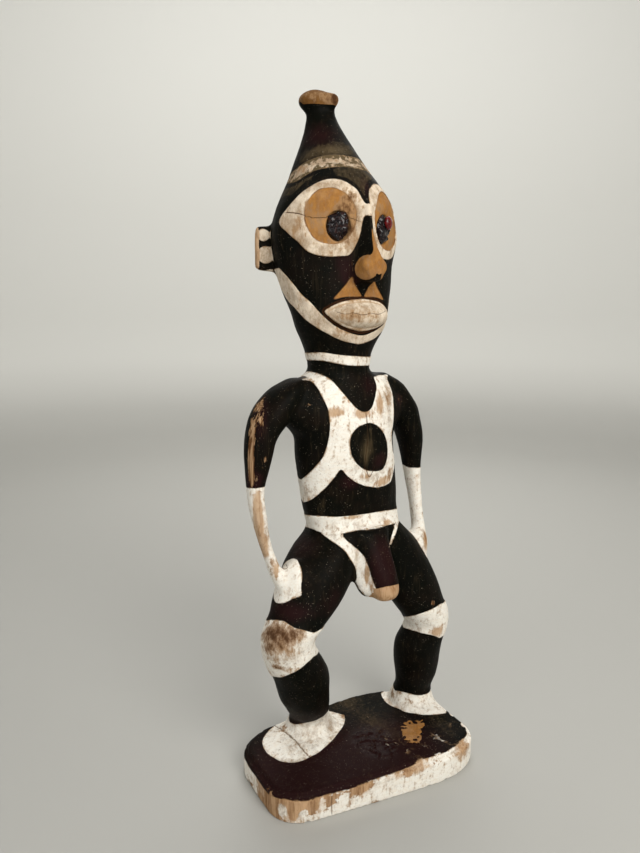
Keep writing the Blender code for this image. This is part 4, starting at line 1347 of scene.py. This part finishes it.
class FigureStudio(bpy.types.PropertyGroup):
    """Floor, light and lens."""

    floor: FloatVectorProperty(name="Floor", description="Colour of the floor", subtype="COLOR",
                               size=3, min=0.0, max=1.0, default=(0.42, 0.415, 0.39))
    wall: FloatVectorProperty(name="Wall", description="Colour of the backdrop", subtype="COLOR",
                              size=3, min=0.0, max=1.0, default=(0.66, 0.655, 0.62))
    key_power: FloatProperty(name="Key light", description="Power of the large soft light",
                             default=34.0, min=0.0, unit="POWER")
    fill_power: FloatProperty(name="Fill light", description="Power of the light from the other side",
                              default=6.0, min=0.0, unit="POWER")
    wall_power: FloatProperty(name="Wall light", description="Power of the light on the backdrop",
                              default=42.0, min=0.0, unit="POWER")
    sky: FloatProperty(name="Sky", description="Strength of the even light from all round",
                       default=0.28, min=0.0)


class FIGURE_OT_carving(bpy.types.Operator):
    """Make the painted carving from the solid"""

    bl_idname = "figure.carving"
    bl_label = "Painted carving"

    def execute(self, context):
        scene = context.scene
        obj = dress_body(scene.figure_carving)
        obj.data.materials.clear()
        obj.data.materials.append(carving_material(scene.figure_paint, paint_groups()))
        if len(obj.data.polygons) > 200000:
            raise RuntimeError("the carving has too many faces: lower Triangles")
        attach(obj, BODY)
        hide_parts(CARVING)
        return {"FINISHED"}


class FIGURE_OT_eyes(bpy.types.Operator):
    """Make the resin inlays of both eyes"""

    bl_idname = "figure.eyes"
    bl_label = "Resin eyes"

    def execute(self, context):
        scene = context.scene
        mat = resin_material(scene.figure_paint, paint_groups())
        for seed, side in ((11, "right"), (17, "left")):
            make_resin(f"{side}_eye_resin", f"{side}_eye_inlay", scene.figure_inlays, mat, seed)
        return {"FINISHED"}


class FIGURE_OT_seed(bpy.types.Operator):
    """Give the red seed in the left eye its shell"""

    bl_idname = "figure.seed"
    bl_label = "Red seed"

    def execute(self, context):
        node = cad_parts["left_eye_seed"]
        mat = seed_material(context.scene.figure_paint, paint_groups())
        if node.material_slots:
            node.material_slots[0].material = mat
        else:
            node.data.materials.append(mat)
        return {"FINISHED"}


def paint_groups():
    """The shared node groups, made once."""
    made = {}
    for key, name, make in (("brushed", "brushed edge", brushed_edge_group),
                            ("wood", "carved wood", wood_group),
                            ("flaking", "flaking", flaking_group),
                            ("grime", "grime", grime_group)):
        made[key] = bpy.data.node_groups.get(name) or make()
    return made


def area_light(name, place, target, size, power, colour):
    data = bpy.data.lights.new(name, "AREA")
    data.shape = "DISK"
    data.size = size
    data.energy = power
    data.color = colour
    lamp = new_object(name, data)
    lamp.location = place
    lamp.rotation_euler = (Vector(target) - Vector(place)).to_track_quat("-Z", "Y").to_euler()
    return lamp


def studio_bowl(floor, wall):
    """Floor and backdrop in one: a flat disc whose rim sweeps up all round."""
    bm = bmesh.new()
    profile = [(1.2, 0.0), (2.2, 0.0), (2.5, 0.03), (2.75, 0.12), (2.95, 0.30), (3.05, 0.6),
               (3.1, 1.2), (3.1, 4.0)]
    turns = 96
    angles = [2 * math.pi * k / turns for k in range(turns)]
    rings = []
    for radius, height in profile:
        rings.append([bm.verts.new((radius * math.cos(angle), radius * math.sin(angle), height))
                      for angle in angles])
    centre = bm.verts.new((0.0, 0.0, 0.0))
    for k in range(turns):
        bm.faces.new((centre, rings[0][k], rings[0][(k + 1) % turns]))
        for inner, outer in zip(rings[:-1], rings[1:]):
            bm.faces.new((inner[k], outer[k], outer[(k + 1) % turns], inner[(k + 1) % turns]))
    mesh = bpy.data.meshes.new("studio_floor")
    bm.to_mesh(mesh)
    bm.free()
    mesh.shade_smooth()
    obj = new_object("studio_floor", mesh)
    mat = bpy.data.materials.new("studio paper")
    tree, shader = shader_of(mat)
    height = tree.node("ShaderNodeSeparateXYZ", {"Vector": tree.place()}).outputs["Z"]
    tree.feed(shader.inputs["Base Color"], tree.blend(tree.step(height, 0.0, 0.4), floor, wall))
    shader.inputs["Roughness"].default_value = 0.7
    mesh.materials.append(mat)
    return obj


class FIGURE_OT_studio(bpy.types.Operator):
    """Set the floor, the lights and the photograph's camera"""

    bl_idname = "figure.studio"
    bl_label = "Studio"

    def execute(self, context):
        scene = context.scene
        studio = scene.figure_studio
        studio_bowl(studio.floor, studio.wall)
        middle = (0.0, 0.0, 0.50)
        area_light("key", (-0.05, -1.55, 1.35), middle, 1.3, studio.key_power, (1.0, 0.985, 0.95))
        area_light("fill", (-1.5, -0.5, 0.9), middle, 1.4, studio.fill_power, (0.96, 0.97, 1.0))
        area_light("back", (1.0, 1.2, 1.5), middle, 1.2, studio.fill_power, (1.0, 0.99, 0.97))
        area_light("wall", (0.5, 0.9, 2.5), (1.7, 2.7, 0.5), 1.8, studio.wall_power, (1.0, 0.995, 0.98))
        world = bpy.data.worlds.new("studio light")
        scene.world = world
        world.use_nodes = True
        background = world.node_tree.nodes["Background"]
        background.inputs["Color"].default_value = (1.0, 0.99, 0.97, 1.0)
        background.inputs["Strength"].default_value = studio.sky
        camera = bpy.data.cameras.new("photo camera")
        camera.sensor_fit = "AUTO"
        camera.sensor_width = SENSOR
        camera.lens = SENSOR * PHOTO_FOCUS / PHOTO_SIZE[1]
        camera.clip_start = 0.02
        holder = new_object("photo camera", camera)
        holder.location = CAMERA_PLACE
        holder.rotation_euler = AHEAD.to_track_quat("-Z", "Y").to_euler()
        scene.camera = holder
        scene.view_settings.view_transform = "Standard"
        return {"FINISHED"}


class FIGURE_PT_panel(bpy.types.Panel):
    """Lists what the figure is made from"""

    bl_label = "Carved figure"
    bl_space_type = "VIEW_3D"
    bl_region_type = "UI"
    bl_category = "Figure"

    def draw(self, context):
        scene = context.scene
        for group in (scene.figure_carving, scene.figure_inlays, scene.figure_studio, scene.figure_paint):
            box = self.layout.box()
            for name in group.bl_rna.properties.keys():
                if name not in ("rna_type", "name"):
                    box.prop(group, name)
        for operator in OPERATORS:
            self.layout.operator(operator.bl_idname)


SETTINGS = (("figure_paint", FigurePaint), ("figure_carving", FigureCarving),
            ("figure_inlays", FigureInlays), ("figure_studio", FigureStudio))
OPERATORS = (FIGURE_OT_carving, FIGURE_OT_eyes, FIGURE_OT_seed, FIGURE_OT_studio)


def register():
    for name, group in SETTINGS:
        bpy.utils.register_class(group)
        setattr(bpy.types.Scene, name, PointerProperty(type=group))
    for item in (*OPERATORS, FIGURE_PT_panel):
        bpy.utils.register_class(item)


def unregister():
    for item in (FIGURE_PT_panel, *reversed(OPERATORS)):
        bpy.utils.unregister_class(item)
    for name, group in reversed(SETTINGS):
        delattr(bpy.types.Scene, name)
        bpy.utils.unregister_class(group)


def main():
    register()
    bpy.ops.figure.carving()
    bpy.ops.figure.eyes()
    bpy.ops.figure.seed()
    bpy.ops.figure.studio()


if __name__ == "__main__":
    main()
